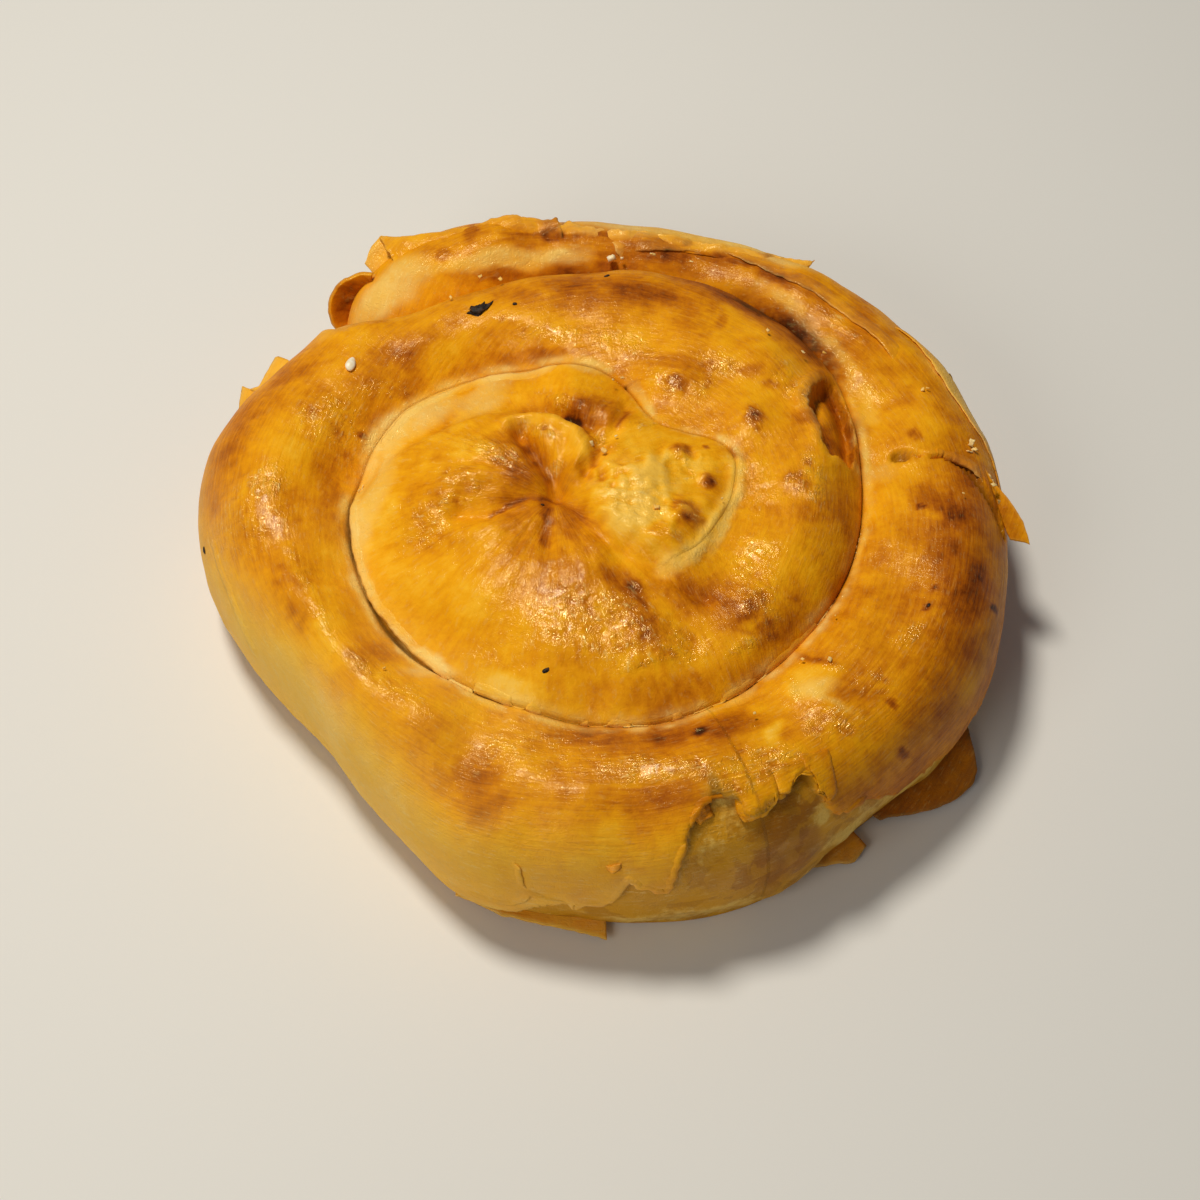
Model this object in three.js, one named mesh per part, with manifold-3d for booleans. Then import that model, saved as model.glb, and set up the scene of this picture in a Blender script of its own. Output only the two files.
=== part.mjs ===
// Spiral cheese pie: a roll of thin pastry round a cheese filling, coiled from its middle outwards
// and baked as one golden-brown round.
//
// Millimetres, +Z up. The origin is under the middle of the pie, on the surface that it stands on.
// The coil turns anticlockwise from its middle to its tail, seen from above. A place along the roll
// is an angle in degrees that keeps counting through the turns: where the seam begins it is
// SEAM_START, and one whole turn later the same direction is SEAM_START + 360. At the tail it is
// ROLL_END. All plan positions below are measured from the coil's own centre.

import * as THREE from 'three';
import { mergeVertices } from 'three/addons/utils/BufferGeometryUtils.js';
import Module from 'manifold-3d';

// ---- Driving dimensions ----

// The coil's centre, from the middle of the pie's bounding box.
const COIL_CENTRE = new THREE.Vector2(-1.85, -5.16);

// Where the seam between the turns begins, where it runs out over the side, and the roll's end.
const SEAM_START = -67;
const SEAM_END = 501;
const ROLL_END = SEAM_END + 360;

// The seam: [angle along the roll, distance from the coil's centre, height].
const SEAM = [
  [-67, 21, 43],
  [-30, 24.3, 39],
  [0, 26, 37],
  [20, 26.5, 37.5],
  [50, 21.8, 38],
  [85, 31.5, 38],
  [115, 38.5, 37],
  [152, 48, 34.5],
  [200, 49.5, 32],
  [250, 48.6, 31.5],
  [285, 50.5, 31.5],
  [320, 49.2, 31.5],
  [368, 53.7, 30.5],
  [400, 62.5, 30],
  [425, 67.5, 29.5],
  [452, 66, 29],
  [480, 67.5, 27],
  [493, 72, 23],
  [501, 80.4, 15],
];

// The roll's crown between its two seams: [angle along the roll, height].
const CROWN = [
  [293, 42.5],
  [330, 41],
  [380, 41.5],
  [450, 42],
  [480, 40.5],
  [501, 38.5],
  [540, 37.5],
  [600, 35.5],
  [640, 36],
  [690, 36],
  [730, 35],
  [770, 34.5],
  [800, 34.5],
  [832, 36],
  [841, 33.5],
  [847, 28.5],
  [853, 22],
  [861, 15],
];

// The outer side: a round whose middle lies off the coil's centre, flattened where the roll was
// pressed against the tray's edge, with the tail standing out of it.
const SIDE_RADIUS = 82.3;
const SIDE_OFFSET = new THREE.Vector2(1.9, 4.6);
const SIDE_WIDEST_HEIGHT = 15;
const SIDE_TUCK = 6.5;
const SIDE_FORM = [
  { angle: 32, halfAngle: 36, out: 2.2 },
  { angle: 168, halfAngle: 24, out: 4 },
  { angle: 215, halfAngle: 36, out: -10 },
  { angle: 238, halfAngle: 18, out: -3 },
  { angle: 288, halfAngle: 22, out: 1.6 },
  { angle: 314, halfAngle: 20, out: -2 },
];
const TAIL = { from: 84, full: 120, shoulder: 127, end: 136, height: 8, dip: 2.2 };

// The middle of the coil is one broad knot with a rounded edge, pinched together off its centre.
const KNOT_HEIGHT = 44;
const PINCH = new THREE.Vector2(-9, -3);
const KNOT_ROW_BUNCHING = 0.7;
const KNOT_BLEND = 42;
const KNOT_ROUNDNESS = 2.3;

// How square the roll's outer flank is, and how much of the inner flank is as round as that.
const FLANK_ROUNDNESS = [
  [293, 2.2],
  [400, 2.4],
  [430, 3.2],
  [480, 3],
  [520, 2.3],
  [861, 2.2],
];
const INNER_FLANK = [
  [293, 0.9],
  [480, 0.8],
  [530, 0.35],
  [600, 0.15],
  [660, 0.5],
  [760, 0.5],
  [800, 0.2],
  [861, 0.2],
];

// The crease that sets the knot's upper lobe off from the lower, flaky band outside it:
// [direction, distance from the coil's centre].
const CREASE = [
  [100, 12],
  [116, 20.8],
  [132, 27.5],
  [153, 36],
  [168, 44.5],
  [184, 49],
];
const CREASE_STEP = 3.2;
const CREASE_WIDTH = 7;

// Folds pinched together at the middle: each runs from one point to another.
const FOLDS = [
  { from: [-14, 12], to: [-9, -1], depth: 2.4, width: 3 },
  { from: [-27, -7], to: [-10, -4], depth: 2.2, width: 3 },
  { from: [-37, -14], to: [-26, -6], depth: 1.4, width: 3.4 },
  { from: [-10, -6], to: [-10, -17], depth: 1.4, width: 3 },
  { from: [-7, -5], to: [4, -20], depth: 2.4, width: 3.4 },
  { from: [4, -20], to: [17, -34], depth: 2.2, width: 4.2 },
  { from: [-7, 0], to: [-3, 12], depth: 2, width: 2.8 },
  { from: [-3, 12], to: [-10, 20], depth: 1.6, width: 3 },
];

// Swellings and hollows of the crust: centre, reach and height.
const SWELLINGS = [
  { at: [-28, 4], reach: 13, height: 1.6 },
  { at: [-5, 5], reach: 5, height: 1.6 },
  { at: [10, -6], reach: 10, height: 1.8 },
  { at: [16, -9], reach: 3.6, height: 1.8 },
  { at: [21.5, -1], reach: 3, height: 1.2 },
  { at: [16, 6], reach: 3, height: 1 },
  { at: [-2, -36], reach: 20, height: 1.4 },
  { at: [29, -29], reach: 7, height: 1.2 },
  { at: [-66, 7], reach: 13, height: 2 },
  { at: [-59, -18], reach: 9, height: 1.4 },
  { at: [-49, -34], reach: 9, height: 1.6 },
  { at: [-32, -47], reach: 9, height: 1.2 },
  { at: [-53, -16], reach: 6, height: -1.8 },
  { at: [-45, -29], reach: 6, height: -1.8 },
  { at: [-60, 34], reach: 12, height: 1.2 },
  { at: [16, -58], reach: 13, height: 1.4 },
  { at: [-24, -62], reach: 8, height: -1.6 },
  { at: [40, -42], reach: 6, height: 1 },
  { at: [66, -10], reach: 12, height: 1.2 },
  { at: [35, 40], reach: 11, height: 1.2 },
  { at: [0, 52], reach: 12, height: 1 },
  { at: [40, 6], reach: 8, height: 1 },
];

// Gentle unevenness all over: [wavelength, direction, height].
const WAVES = [
  [31, 20, 0.35],
  [23, 100, 0.3],
  [17, 160, 0.22],
  [13, 62, 0.16],
];

// A blister of crust that has broken open near the outer edge of the second turn.
const BLISTER = { at: [48.6, 21.5], halfLength: 11.5, halfWidth: 4.6, lean: 97, depth: 5.5, rim: 0.9 };

// The torn lower edge of the brown crust on the front right side, and how far the pale layers
// below it lie back: [direction, height].
const TEAR = [
  [-94, 4],
  [-86, 12],
  [-77, 18],
  [-71, 26],
  [-58, 27],
  [-50, 22],
  [-42, 19],
  [-26, 14],
  [-14, 8],
];
const TEAR_STEP = 1.3;
const TEAR_WIDTH = 2.4;

// The crack across the outer turn on the right: plan points, width and depth.
const CRACK = { points: [[59, 15], [66, 14.6], [74, 11.5], [79, 5], [81.5, -2]], width: 1.6, depth: 1.5 };

// Loose pastry: straps along a short run of points, each [x, y, height, width].
const SHEET_THICKNESS = 1.3;
const LOOSE_FLAPS = [
  // The curled end of the tail, open towards the front.
  {
    across: [0.25, 0.8, -0.5],
    run: [
      [-49, 68, 27, 9],
      [-54, 70, 27, 9],
      [-57.6, 69, 26, 9],
      [-59, 65.5, 24, 8],
      [-57.5, 62, 21, 7],
      [-53, 60, 19, 6],
    ],
  },
  // The tip of the sheet torn along the crack.
  {
    across: [-0.55, 0.8, 0.2],
    run: [[72, 17, 31, 12], [78.5, 11, 29.5, 9], [83.2, 4.6, 27, 5], [86.6, -0.6, 24, 1.8]],
  },
  // The corner of the outermost sheet at the back.
  { across: [-0.4, -0.9, 0.1], run: [[34, 71, 31, 10], [42, 71, 31, 8], [47.8, 71.6, 30.4, 1.8]] },
  // The flap that lies along the front left foot.
  {
    across: [0.1, -1, 0],
    run: [[-28, -66.2, 3, 6], [-16.8, -69, 2.2, 9], [-6.4, -71.3, 1.8, 9], [0.6, -73, 1.5, 9]],
  },
  // The browned underside sheets at the right foot.
  {
    across: [0.75, -0.66, 0],
    run: [
      [71, -27.5, 3, 10],
      [70.8, -37, 2, 12],
      [67.1, -42.7, 1.7, 12],
      [58.8, -46.5, 1.8, 12],
      [51.5, -49, 2, 9],
    ],
  },
  {
    across: [0.64, -0.77, 0],
    run: [[50.5, -55.5, 2.2, 6], [45.9, -57.3, 1.8, 10], [42.5, -57.7, 1.8, 10], [38.5, -60, 2, 7]],
  },
  // Small points at the left shoulder.
  { across: [0.6, 0.8, 0], run: [[-60, 38.5, 29, 8], [-65, 41.6, 28.6, 5], [-68.9, 45.3, 28.6, 1.6]] },
  { across: [0.5, 0.86, 0], run: [[-68, 31, 27, 8], [-72.5, 34.5, 26.8, 5], [-76, 38.2, 27.4, 1.6]] },
];

// One sesame seed and one burnt flake lie on the crust.
const SEED = { at: [-51.9, 34.4], length: 3.1, width: 2.3, height: 1.5, turn: 70 };
const BURNT_FLAKE = { at: [-25.8, 48.6], length: 5.4, width: 3, height: 1.3, turn: 22 };

// The step between rows of facets along the roll, and the facets across it and down the side.
const STEP = 4;
const ACROSS = 14;
const DOWN_SIDE = 7;

const CRUST = { color: 0xc98322, roughness: 0.34, metalness: 0 };

// ---- Curves and fields ----

const toRadians = (degrees) => THREE.MathUtils.degToRad(degrees);
const ease = (from, to, x) => THREE.MathUtils.smoothstep(x, from, to);
const mix = (a, b, share) => a + (b - a) * share;

// A smooth line through hand-set stations [x, value, ...], read at x.
function along(stations, x, column = 1) {
  const last = stations.length - 1;
  const at = THREE.MathUtils.clamp(x, stations[0][0], stations[last][0]);
  let i = 0;
  while (i < last - 1 && at > stations[i + 1][0]) i += 1;
  const slope = (k) => {
    const before = stations[Math.max(k - 1, 0)];
    const after = stations[Math.min(k + 1, last)];
    return (after[column] - before[column]) / (after[0] - before[0]);
  };
  const [a, b] = [stations[i], stations[i + 1]];
  const span = b[0] - a[0];
  const t = (at - a[0]) / span;
  const risen = t * t * (3 - 2 * t);
  const leaving = t * (1 - t) * (1 - t) * span * slope(i);
  const arriving = t * t * (t - 1) * span * slope(i + 1);
  return mix(a[column], b[column], risen) + leaving + arriving;
}

// A hump of height 1 round an angle, 0 at halfAngle either side.
function hump(angle, halfAngle, theta) {
  const apart = Math.abs(THREE.MathUtils.euclideanModulo(theta - angle + 180, 360) - 180);
  return apart < halfAngle ? Math.cos((apart / halfAngle) * (Math.PI / 2)) ** 2 : 0;
}

// The distance from the coil's centre to the widest line of the side.
function sideRadius(theta) {
  const turn = THREE.MathUtils.euclideanModulo(theta, 360);
  const offset = SIDE_OFFSET.x * Math.cos(toRadians(turn)) + SIDE_OFFSET.y * Math.sin(toRadians(turn));
  const formed = SIDE_FORM.reduce((sum, form) => sum + form.out * hump(form.angle, form.halfAngle, turn), 0);
  const standing = ease(TAIL.from, TAIL.full, turn) * (1 - ease(TAIL.shoulder, TAIL.end, turn));
  const behindTail = TAIL.dip * hump(TAIL.end + 6, 22, turn);
  return SIDE_RADIUS + offset + formed + TAIL.height * standing - behindTail;
}

// The outer edge of the roll at an angle along it: the seam, and after SEAM_END the side.
const edgeRadius = (phi) => (phi < SEAM_END ? along(SEAM, phi) : sideRadius(phi));

// The height of the knot's dome as if no seam had begun in it.
function domeHeight(theta, r) {
  const phi = theta < SEAM_START + KNOT_BLEND ? theta + 360 : theta;
  const share = Math.min(r / along(SEAM, phi), 1);
  const seam = along(SEAM, phi, 2);
  return mix(seam, KNOT_HEIGHT, (1 - share ** KNOT_ROUNDNESS) ** (1 / KNOT_ROUNDNESS));
}

// How far the seam has opened at an angle along it: 0 at its beginning, 1 where it has full depth.
const opened = (phi) => ease(SEAM_START, SEAM_START + KNOT_BLEND, phi);

function edgeHeight(phi) {
  if (phi >= SEAM_END) return SIDE_WIDEST_HEIGHT;
  return mix(domeHeight(phi, edgeRadius(phi)), along(SEAM, phi, 2), opened(phi));
}

// The height of the knot at a plan point, which is never outside its first turn of seam.
function knotHeight(x, y) {
  const direction = THREE.MathUtils.radToDeg(Math.atan2(y, x));
  const phi = direction < SEAM_START ? direction + 360 : direction;
  const r = Math.hypot(x, y);
  const share = Math.min(r / edgeRadius(phi), 1);
  const own = mix(edgeHeight(phi), KNOT_HEIGHT, (1 - share ** KNOT_ROUNDNESS) ** (1 / KNOT_ROUNDNESS));
  return phi < SEAM_START + KNOT_BLEND ? mix(domeHeight(phi, r), own, opened(phi)) : own;
}

// The roll's surface outside that, at the share v of the way from its inner to its outer edge.
function rollPoint(phi, v) {
  const inner = edgeRadius(phi - 360);
  const outer = edgeRadius(phi);
  const r = mix(inner, outer, (1 - Math.cos(v * Math.PI)) / 2);
  const off = Math.abs(Math.cos(v * Math.PI));
  const power = along(FLANK_ROUNDNESS, phi);
  const round = (1 - off ** power) ** (1 / power);
  const low = v < 0.5 ? edgeHeight(phi - 360) : edgeHeight(phi);
  const gentle = ease(0, 0.5, v);
  const rise = v < 0.5 ? mix(gentle, round, along(INNER_FLANK, phi)) : round;
  const own = mix(low, along(CROWN, phi), rise);
  const parting = opened(phi - 360);
  const z = parting < 1 ? mix(domeHeight(phi - 360, r), own, parting) : own;
  return { r, z };
}

// The distance from a plan point to the stretch between two others.
function distanceToStretch(x, y, from, to) {
  const [dx, dy] = [to[0] - from[0], to[1] - from[1]];
  const share = ((x - from[0]) * dx + (y - from[1]) * dy) / (dx * dx + dy * dy);
  const t = THREE.MathUtils.clamp(share, 0, 1);
  return Math.hypot(x - from[0] - t * dx, y - from[1] - t * dy);
}

// What folds, swellings and the blister add to the height at a plan point.
function relief(x, y) {
  let height = 0;
  for (const fold of FOLDS) {
    height -= fold.depth * Math.exp(-((distanceToStretch(x, y, fold.from, fold.to) / fold.width) ** 2));
  }
  for (const swelling of SWELLINGS) {
    const reach = Math.hypot(x - swelling.at[0], y - swelling.at[1]) / swelling.reach;
    height += swelling.height * Math.exp(-reach * reach);
  }
  for (const [wavelength, direction, size] of WAVES) {
    const run = x * Math.cos(toRadians(direction)) + y * Math.sin(toRadians(direction));
    height += size * Math.sin((run / wavelength) * 2 * Math.PI + direction);
  }
  const [dx, dy] = [x - BLISTER.at[0], y - BLISTER.at[1]];
  const lean = toRadians(BLISTER.lean);
  const lengthways = (dx * Math.cos(lean) + dy * Math.sin(lean)) / BLISTER.halfLength;
  const crossways = (dy * Math.cos(lean) - dx * Math.sin(lean)) / BLISTER.halfWidth;
  const out = Math.hypot(lengthways, crossways);
  height -= BLISTER.depth * (1 - ease(0.55, 1.05, out));
  height += BLISTER.rim * Math.exp(-(((out - 1.25) / 0.3) ** 2));
  return height;
}

// How far the flaky band outside the crease lies below the knot's upper lobe.
function creaseDrop(theta, r) {
  if (theta < CREASE[0][0] || theta > CREASE[CREASE.length - 1][0]) return 0;
  const fade = ease(CREASE[0][0], CREASE[1][0], theta) * (1 - ease(CREASE[4][0], CREASE[5][0], theta));
  return CREASE_STEP * fade * ease(-CREASE_WIDTH / 2, CREASE_WIDTH / 2, r - along(CREASE, theta));
}

// A point of the top: profile plus relief, which dies away down the side.
function topPoint(x, y, profileHeight) {
  const upward = ease(SIDE_WIDEST_HEIGHT, SIDE_WIDEST_HEIGHT + 12, profileHeight);
  return new THREE.Vector3(x, y, profileHeight + upward * relief(x, y));
}

function rollVertex(phi, r, profileHeight) {
  return layBack(topPoint(r * Math.cos(toRadians(phi)), r * Math.sin(toRadians(phi)), profileHeight));
}

// A point of the knot, at the share v of the way from the pinch to the seam.
function knotVertex(phi, v) {
  const edge = edgeRadius(phi);
  const share = mix(v, Math.sin(v * (Math.PI / 2)), KNOT_ROW_BUNCHING);
  const x = mix(PINCH.x, edge * Math.cos(toRadians(phi)), share);
  const y = mix(PINCH.y, edge * Math.sin(toRadians(phi)), share);
  const direction = THREE.MathUtils.euclideanModulo(THREE.MathUtils.radToDeg(Math.atan2(y, x)), 360);
  const point = topPoint(x, y, knotHeight(x, y));
  point.z -= creaseDrop(direction, Math.hypot(x, y));
  return point;
}

// A point of the side below its widest line, at the share u of the way down to the tray.
function sideVertex(theta, u) {
  const turn = u * (Math.PI / 2);
  const z = SIDE_WIDEST_HEIGHT * (1 - Math.sin(turn));
  const tuck = SIDE_TUCK * (1 - Math.cos(turn) ** 0.8);
  const r = sideRadius(theta) - tuck;
  return new THREE.Vector3(r * Math.cos(toRadians(theta)), r * Math.sin(toRadians(theta)), z);
}

// Moves a point of the side inwards where the crust has torn away.
function layBack(point) {
  let theta = THREE.MathUtils.radToDeg(Math.atan2(point.y, point.x));
  const [first, last] = [TEAR[0][0], TEAR[TEAR.length - 1][0]];
  if (theta < first || theta > last) return point;
  const fade = ease(first, first + 8, theta) * (1 - ease(last - 8, last, theta));
  const below = ease(-TEAR_WIDTH / 2, TEAR_WIDTH / 2, along(TEAR, theta) - point.z);
  const r = Math.hypot(point.x, point.y);
  const onSide = ease(40, 60, r);
  const scale = (r - TEAR_STEP * fade * below * onSide * ease(0, 2, point.z)) / r;
  return new THREE.Vector3(point.x * scale, point.y * scale, point.z);
}

// ---- The pie's body: one closed skin over the knot, the roll, the side and the foot ----

class Skin {
  constructor() {
    this.positions = [];
    this.triangles = [];
  }

  vertex(point) {
    this.positions.push(point.x, point.y, point.z);
    return this.positions.length / 3 - 1;
  }

  // The distance of a vertex from the pinch.
  reach(vertex) {
    return Math.hypot(this.positions[3 * vertex] - PINCH.x, this.positions[3 * vertex + 1] - PINCH.y);
  }

  // Triangles between two rows of vertices, less any that would be flat. The rows may share
  // vertices and may differ in number: then they are matched by their distance from the pinch.
  stitch(left, right) {
    const share = (row, k) => (left.length === right.length ? k : this.reach(row[k]));
    let [i, j] = [0, 0];
    while (i < left.length - 1 || j < right.length - 1) {
      const rightIsDone = j === right.length - 1;
      const leftIsNearer = i < left.length - 1 && (rightIsDone || share(left, i + 1) <= share(right, j + 1));
      const stepLeft = rightIsDone || leftIsNearer;
      const next = stepLeft ? left[i + 1] : right[j + 1];
      this.triangle(left[i], next, right[j]);
      if (stepLeft) i += 1;
      else j += 1;
    }
  }

  triangle(a, b, c) {
    if (a !== b && b !== c && c !== a) this.triangles.push(a, b, c);
  }

  geometry() {
    const geometry = new THREE.BufferGeometry();
    geometry.setAttribute('position', new THREE.Float32BufferAttribute(this.positions, 3));
    geometry.setIndex(this.triangles);
    return geometry;
  }
}

function pieBody() {
  const skin = new Skin();
  const turnSteps = 360 / STEP;
  const edgeCount = (ROLL_END - SEAM_START) / STEP;
  const tailStep = (SEAM_END - SEAM_START) / STEP;

  // The outer edge of the roll, all the way along. Its last turn closes on SEAM_END.
  const edge = [];
  for (let k = 0; k < edgeCount; k += 1) {
    const phi = SEAM_START + k * STEP;
    const roundKnot = phi < SEAM_START + 360;
    const point = roundKnot ? knotVertex(phi, 1) : rollVertex(phi, edgeRadius(phi), edgeHeight(phi));
    edge.push(skin.vertex(point));
  }
  edge.push(edge[tailStep]);

  // Rows across the knot, from the pinch to the seam.
  const pinch = skin.vertex(knotVertex(0, 0));
  const knotRow = (k) => {
    const row = [pinch];
    for (let j = 1; j < ACROSS; j += 1) row.push(skin.vertex(knotVertex(SEAM_START + k * STEP, j / ACROSS)));
    return [...row, edge[k]];
  };

  // Rows across the roll, from its inner to its outer edge.
  const rollRow = (k) => {
    const phi = SEAM_START + k * STEP;
    const row = [edge[k - turnSteps]];
    for (let j = 1; j < ACROSS && k < edgeCount; j += 1) {
      const { r, z } = rollPoint(phi, j / ACROSS);
      row.push(skin.vertex(rollVertex(phi, r, z)));
    }
    return [...row, edge[k]];
  };

  const firstKnotRow = knotRow(0);
  let row = firstKnotRow;
  for (let k = 1; k < turnSteps; k += 1) {
    const next = knotRow(k);
    skin.stitch(row, next);
    row = next;
  }
  let rollFrom = rollRow(turnSteps);
  skin.stitch(row, [...firstKnotRow, ...rollFrom.slice(1)]);
  for (let k = turnSteps + 1; k <= edgeCount; k += 1) {
    const next = k < edgeCount ? rollRow(k) : [edge[k]];
    skin.stitch(rollFrom, next);
    rollFrom = next;
  }

  // The side, ring by ring below its widest line, and the flat foot.
  let ring = edge.slice(tailStep, edgeCount);
  for (let i = 1; i <= DOWN_SIDE; i += 1) {
    const lower = ring.map((_, k) => skin.vertex(layBack(sideVertex(SEAM_END + k * STEP, i / DOWN_SIDE))));
    skin.stitch([...lower, lower[0]], [...ring, ring[0]]);
    ring = lower;
  }
  const footCentre = skin.vertex(new THREE.Vector3(0, 0, 0));
  ring.forEach((corner, k) => skin.triangle(footCentre, ring[(k + 1) % ring.length], corner));
  return skin.geometry();
}

// ---- Loose pieces ----

// A strap of constant thickness along a run of [x, y, height, width], its width along across.
function strapGeometry({ run, across }) {
  const skin = new Skin();
  const side = new THREE.Vector3(...across).normalize();
  const rows = run.map(([x, y, z, width], k) => {
    const here = new THREE.Vector3(x, y, z);
    const before = new THREE.Vector3(...run[Math.max(k - 1, 0)].slice(0, 3));
    const after = new THREE.Vector3(...run[Math.min(k + 1, run.length - 1)].slice(0, 3));
    const up = side.clone().cross(after.sub(before)).normalize().multiplyScalar(SHEET_THICKNESS / 2);
    const half = side.clone().multiplyScalar(width / 2);
    const corners = [[-1, -1], [1, -1], [1, 1], [-1, 1]];
    return corners.map(([s, u]) => {
      return skin.vertex(here.clone().addScaledVector(half, s).addScaledVector(up, u));
    });
  });
  for (let k = 1; k < rows.length; k += 1) {
    skin.stitch([...rows[k], rows[k][0]], [...rows[k - 1], rows[k - 1][0]]);
  }
  const [start, end] = [rows[0], rows[rows.length - 1]];
  skin.triangle(start[0], start[1], start[2]);
  skin.triangle(start[0], start[2], start[3]);
  skin.triangle(end[0], end[2], end[1]);
  skin.triangle(end[0], end[3], end[2]);
  return skin.geometry();
}

// A wedge that is taken out along a crack: its point lies below the crust, its back above it.
function crackGeometry({ points, width, depth }, heightAt) {
  const skin = new Skin();
  const rows = points.map(([x, y], k) => {
    const before = points[Math.max(k - 1, 0)];
    const after = points[Math.min(k + 1, points.length - 1)];
    const run = new THREE.Vector2(after[0] - before[0], after[1] - before[1]).normalize();
    const taper = k === 0 || k === points.length - 1 ? 0.3 : 1;
    const [sx, sy] = [-run.y * width * taper, run.x * width * taper];
    const z = heightAt(x, y);
    return [
      skin.vertex(new THREE.Vector3(x, y, z - depth * taper)),
      skin.vertex(new THREE.Vector3(x + sx, y + sy, z + depth)),
      skin.vertex(new THREE.Vector3(x - sx, y - sy, z + depth)),
    ];
  });
  for (let k = 1; k < rows.length; k += 1) {
    skin.stitch([...rows[k - 1], rows[k - 1][0]], [...rows[k], rows[k][0]]);
  }
  const [start, end] = [rows[0], rows[rows.length - 1]];
  skin.triangle(start[0], start[2], start[1]);
  skin.triangle(end[0], end[1], end[2]);
  return skin.geometry();
}

// A small rounded piece pressed halfway into the crust.
function morselGeometry({ at, length, width, height, turn }, heightAt, sides, rings) {
  const geometry = new THREE.SphereGeometry(0.5, sides, rings);
  geometry.scale(length, height, width);
  geometry.rotateX(Math.PI / 2);
  geometry.rotateZ(toRadians(turn));
  geometry.translate(at[0], at[1], heightAt(at[0], at[1]) + height * 0.15);
  return geometry;
}

// ---- Joining ----

const wasm = await Module();
wasm.setup();

function solid(geometry) {
  const bare = geometry.clone();
  bare.deleteAttribute('normal');
  bare.deleteAttribute('uv');
  const merged = mergeVertices(bare, 1e-4);
  const vertProperties = new Float32Array(merged.getAttribute('position').array);
  const triVerts = new Uint32Array(merged.getIndex().array);
  return new wasm.Manifold(new wasm.Mesh({ numProp: 3, vertProperties, triVerts }));
}

function geometryOf(manifold) {
  const mesh = manifold.getMesh();
  const geometry = new THREE.BufferGeometry();
  geometry.setAttribute('position', new THREE.BufferAttribute(mesh.vertProperties, mesh.numProp));
  geometry.setIndex(new THREE.BufferAttribute(mesh.triVerts, 1));
  return geometry;
}

const body = pieBody();

// The height of the bare body at a plan point.
const bodyMesh = new THREE.Mesh(body, new THREE.MeshStandardMaterial({ side: THREE.DoubleSide }));
const plumb = new THREE.Raycaster();
function heightAt(x, y) {
  plumb.set(new THREE.Vector3(x, y, 2 * KNOT_HEIGHT), new THREE.Vector3(0, 0, -1));
  return plumb.intersectObject(bodyMesh)[0].point.z;
}

let pie = solid(body);
for (const flap of LOOSE_FLAPS) pie = pie.add(solid(strapGeometry(flap)));
pie = pie.subtract(solid(crackGeometry(CRACK, heightAt)));
pie = pie.add(solid(morselGeometry(SEED, heightAt, 7, 4)));
pie = pie.add(solid(morselGeometry(BURNT_FLAKE, heightAt, 7, 4)));

// ---- The part ----

const spiralPie = new THREE.Mesh(geometryOf(pie), new THREE.MeshStandardMaterial(CRUST));
spiralPie.name = 'spiral_pie';
spiralPie.position.set(COIL_CENTRE.x, COIL_CENTRE.y, 0);

const group = new THREE.Group();
group.add(spiralPie);

export default group;
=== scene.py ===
"""Spiral cheese pie: the looks of the part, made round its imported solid.

Lengths are millimetres in plan, measured from the coil's own centre, which lies COIL_CENTRE away
from the middle of the pie. A place along the roll is an angle in degrees that keeps counting
through the turns, from SEAM_START in the middle to ROLL_END at the tail. `placed` turns points
into metres in the part's frame. The strewn flakes and crumbs don't go through it: see `scattered`.
"""

import itertools
import math

import bpy
import numpy as np
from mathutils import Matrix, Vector, geometry
from mathutils.bvhtree import BVHTree


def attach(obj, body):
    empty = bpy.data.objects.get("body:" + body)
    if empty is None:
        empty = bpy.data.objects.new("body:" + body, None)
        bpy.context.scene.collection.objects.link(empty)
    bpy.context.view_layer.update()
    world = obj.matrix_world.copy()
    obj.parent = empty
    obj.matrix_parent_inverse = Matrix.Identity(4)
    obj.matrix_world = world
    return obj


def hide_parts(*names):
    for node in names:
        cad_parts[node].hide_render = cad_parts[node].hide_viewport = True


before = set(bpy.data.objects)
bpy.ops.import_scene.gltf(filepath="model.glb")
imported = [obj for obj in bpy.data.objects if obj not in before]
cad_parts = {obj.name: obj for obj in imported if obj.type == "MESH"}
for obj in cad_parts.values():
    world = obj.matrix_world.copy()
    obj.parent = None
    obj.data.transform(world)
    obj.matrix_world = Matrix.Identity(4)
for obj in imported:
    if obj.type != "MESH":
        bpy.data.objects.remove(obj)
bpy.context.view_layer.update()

# ---- The form of the coil, as in the part's source ----

COIL_CENTRE = (-1.85, -5.16)
MM = 0.001

SEAM_START = -67
SEAM_END = 501
ROLL_END = SEAM_END + 360

# The seam between the turns: angle along the roll, distance from the coil's centre, height.
SEAM = [
    (-67, 22.5, 43), (-49, 23.8, 42), (-23, 24.4, 41), (0, 26.2, 40.2), (18, 28, 40), (30, 26.2, 40),
    (42, 23, 40.2), (54, 21.3, 40), (66, 23, 39.6), (78, 28, 39), (90, 32.6, 38.6), (102, 35.6, 38.4),
    (116, 40, 38), (132, 45, 37), (152, 49.2, 35), (175, 50, 33.5), (200, 49.5, 32.5), (250, 48.6, 32.5),
    (285, 50.5, 32.5), (320, 49.2, 32.5), (368, 53.7, 31.5), (400, 62.5, 30.5), (425, 67.5, 29.5),
    (452, 66, 29), (480, 67.5, 27), (493, 72, 23), (501, 80.4, 15),
]

# The roll's crown between its two seams: angle along the roll, height.
CROWN = [
    (293, 42.5), (330, 41), (380, 41.5), (450, 42), (480, 40.5), (501, 38.5), (540, 37.5),
    (600, 35.5), (640, 36), (690, 36), (730, 35), (770, 34.5), (800, 34.5), (832, 36),
    (841, 33.5), (847, 28.5), (853, 22), (861, 15),
]

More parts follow.
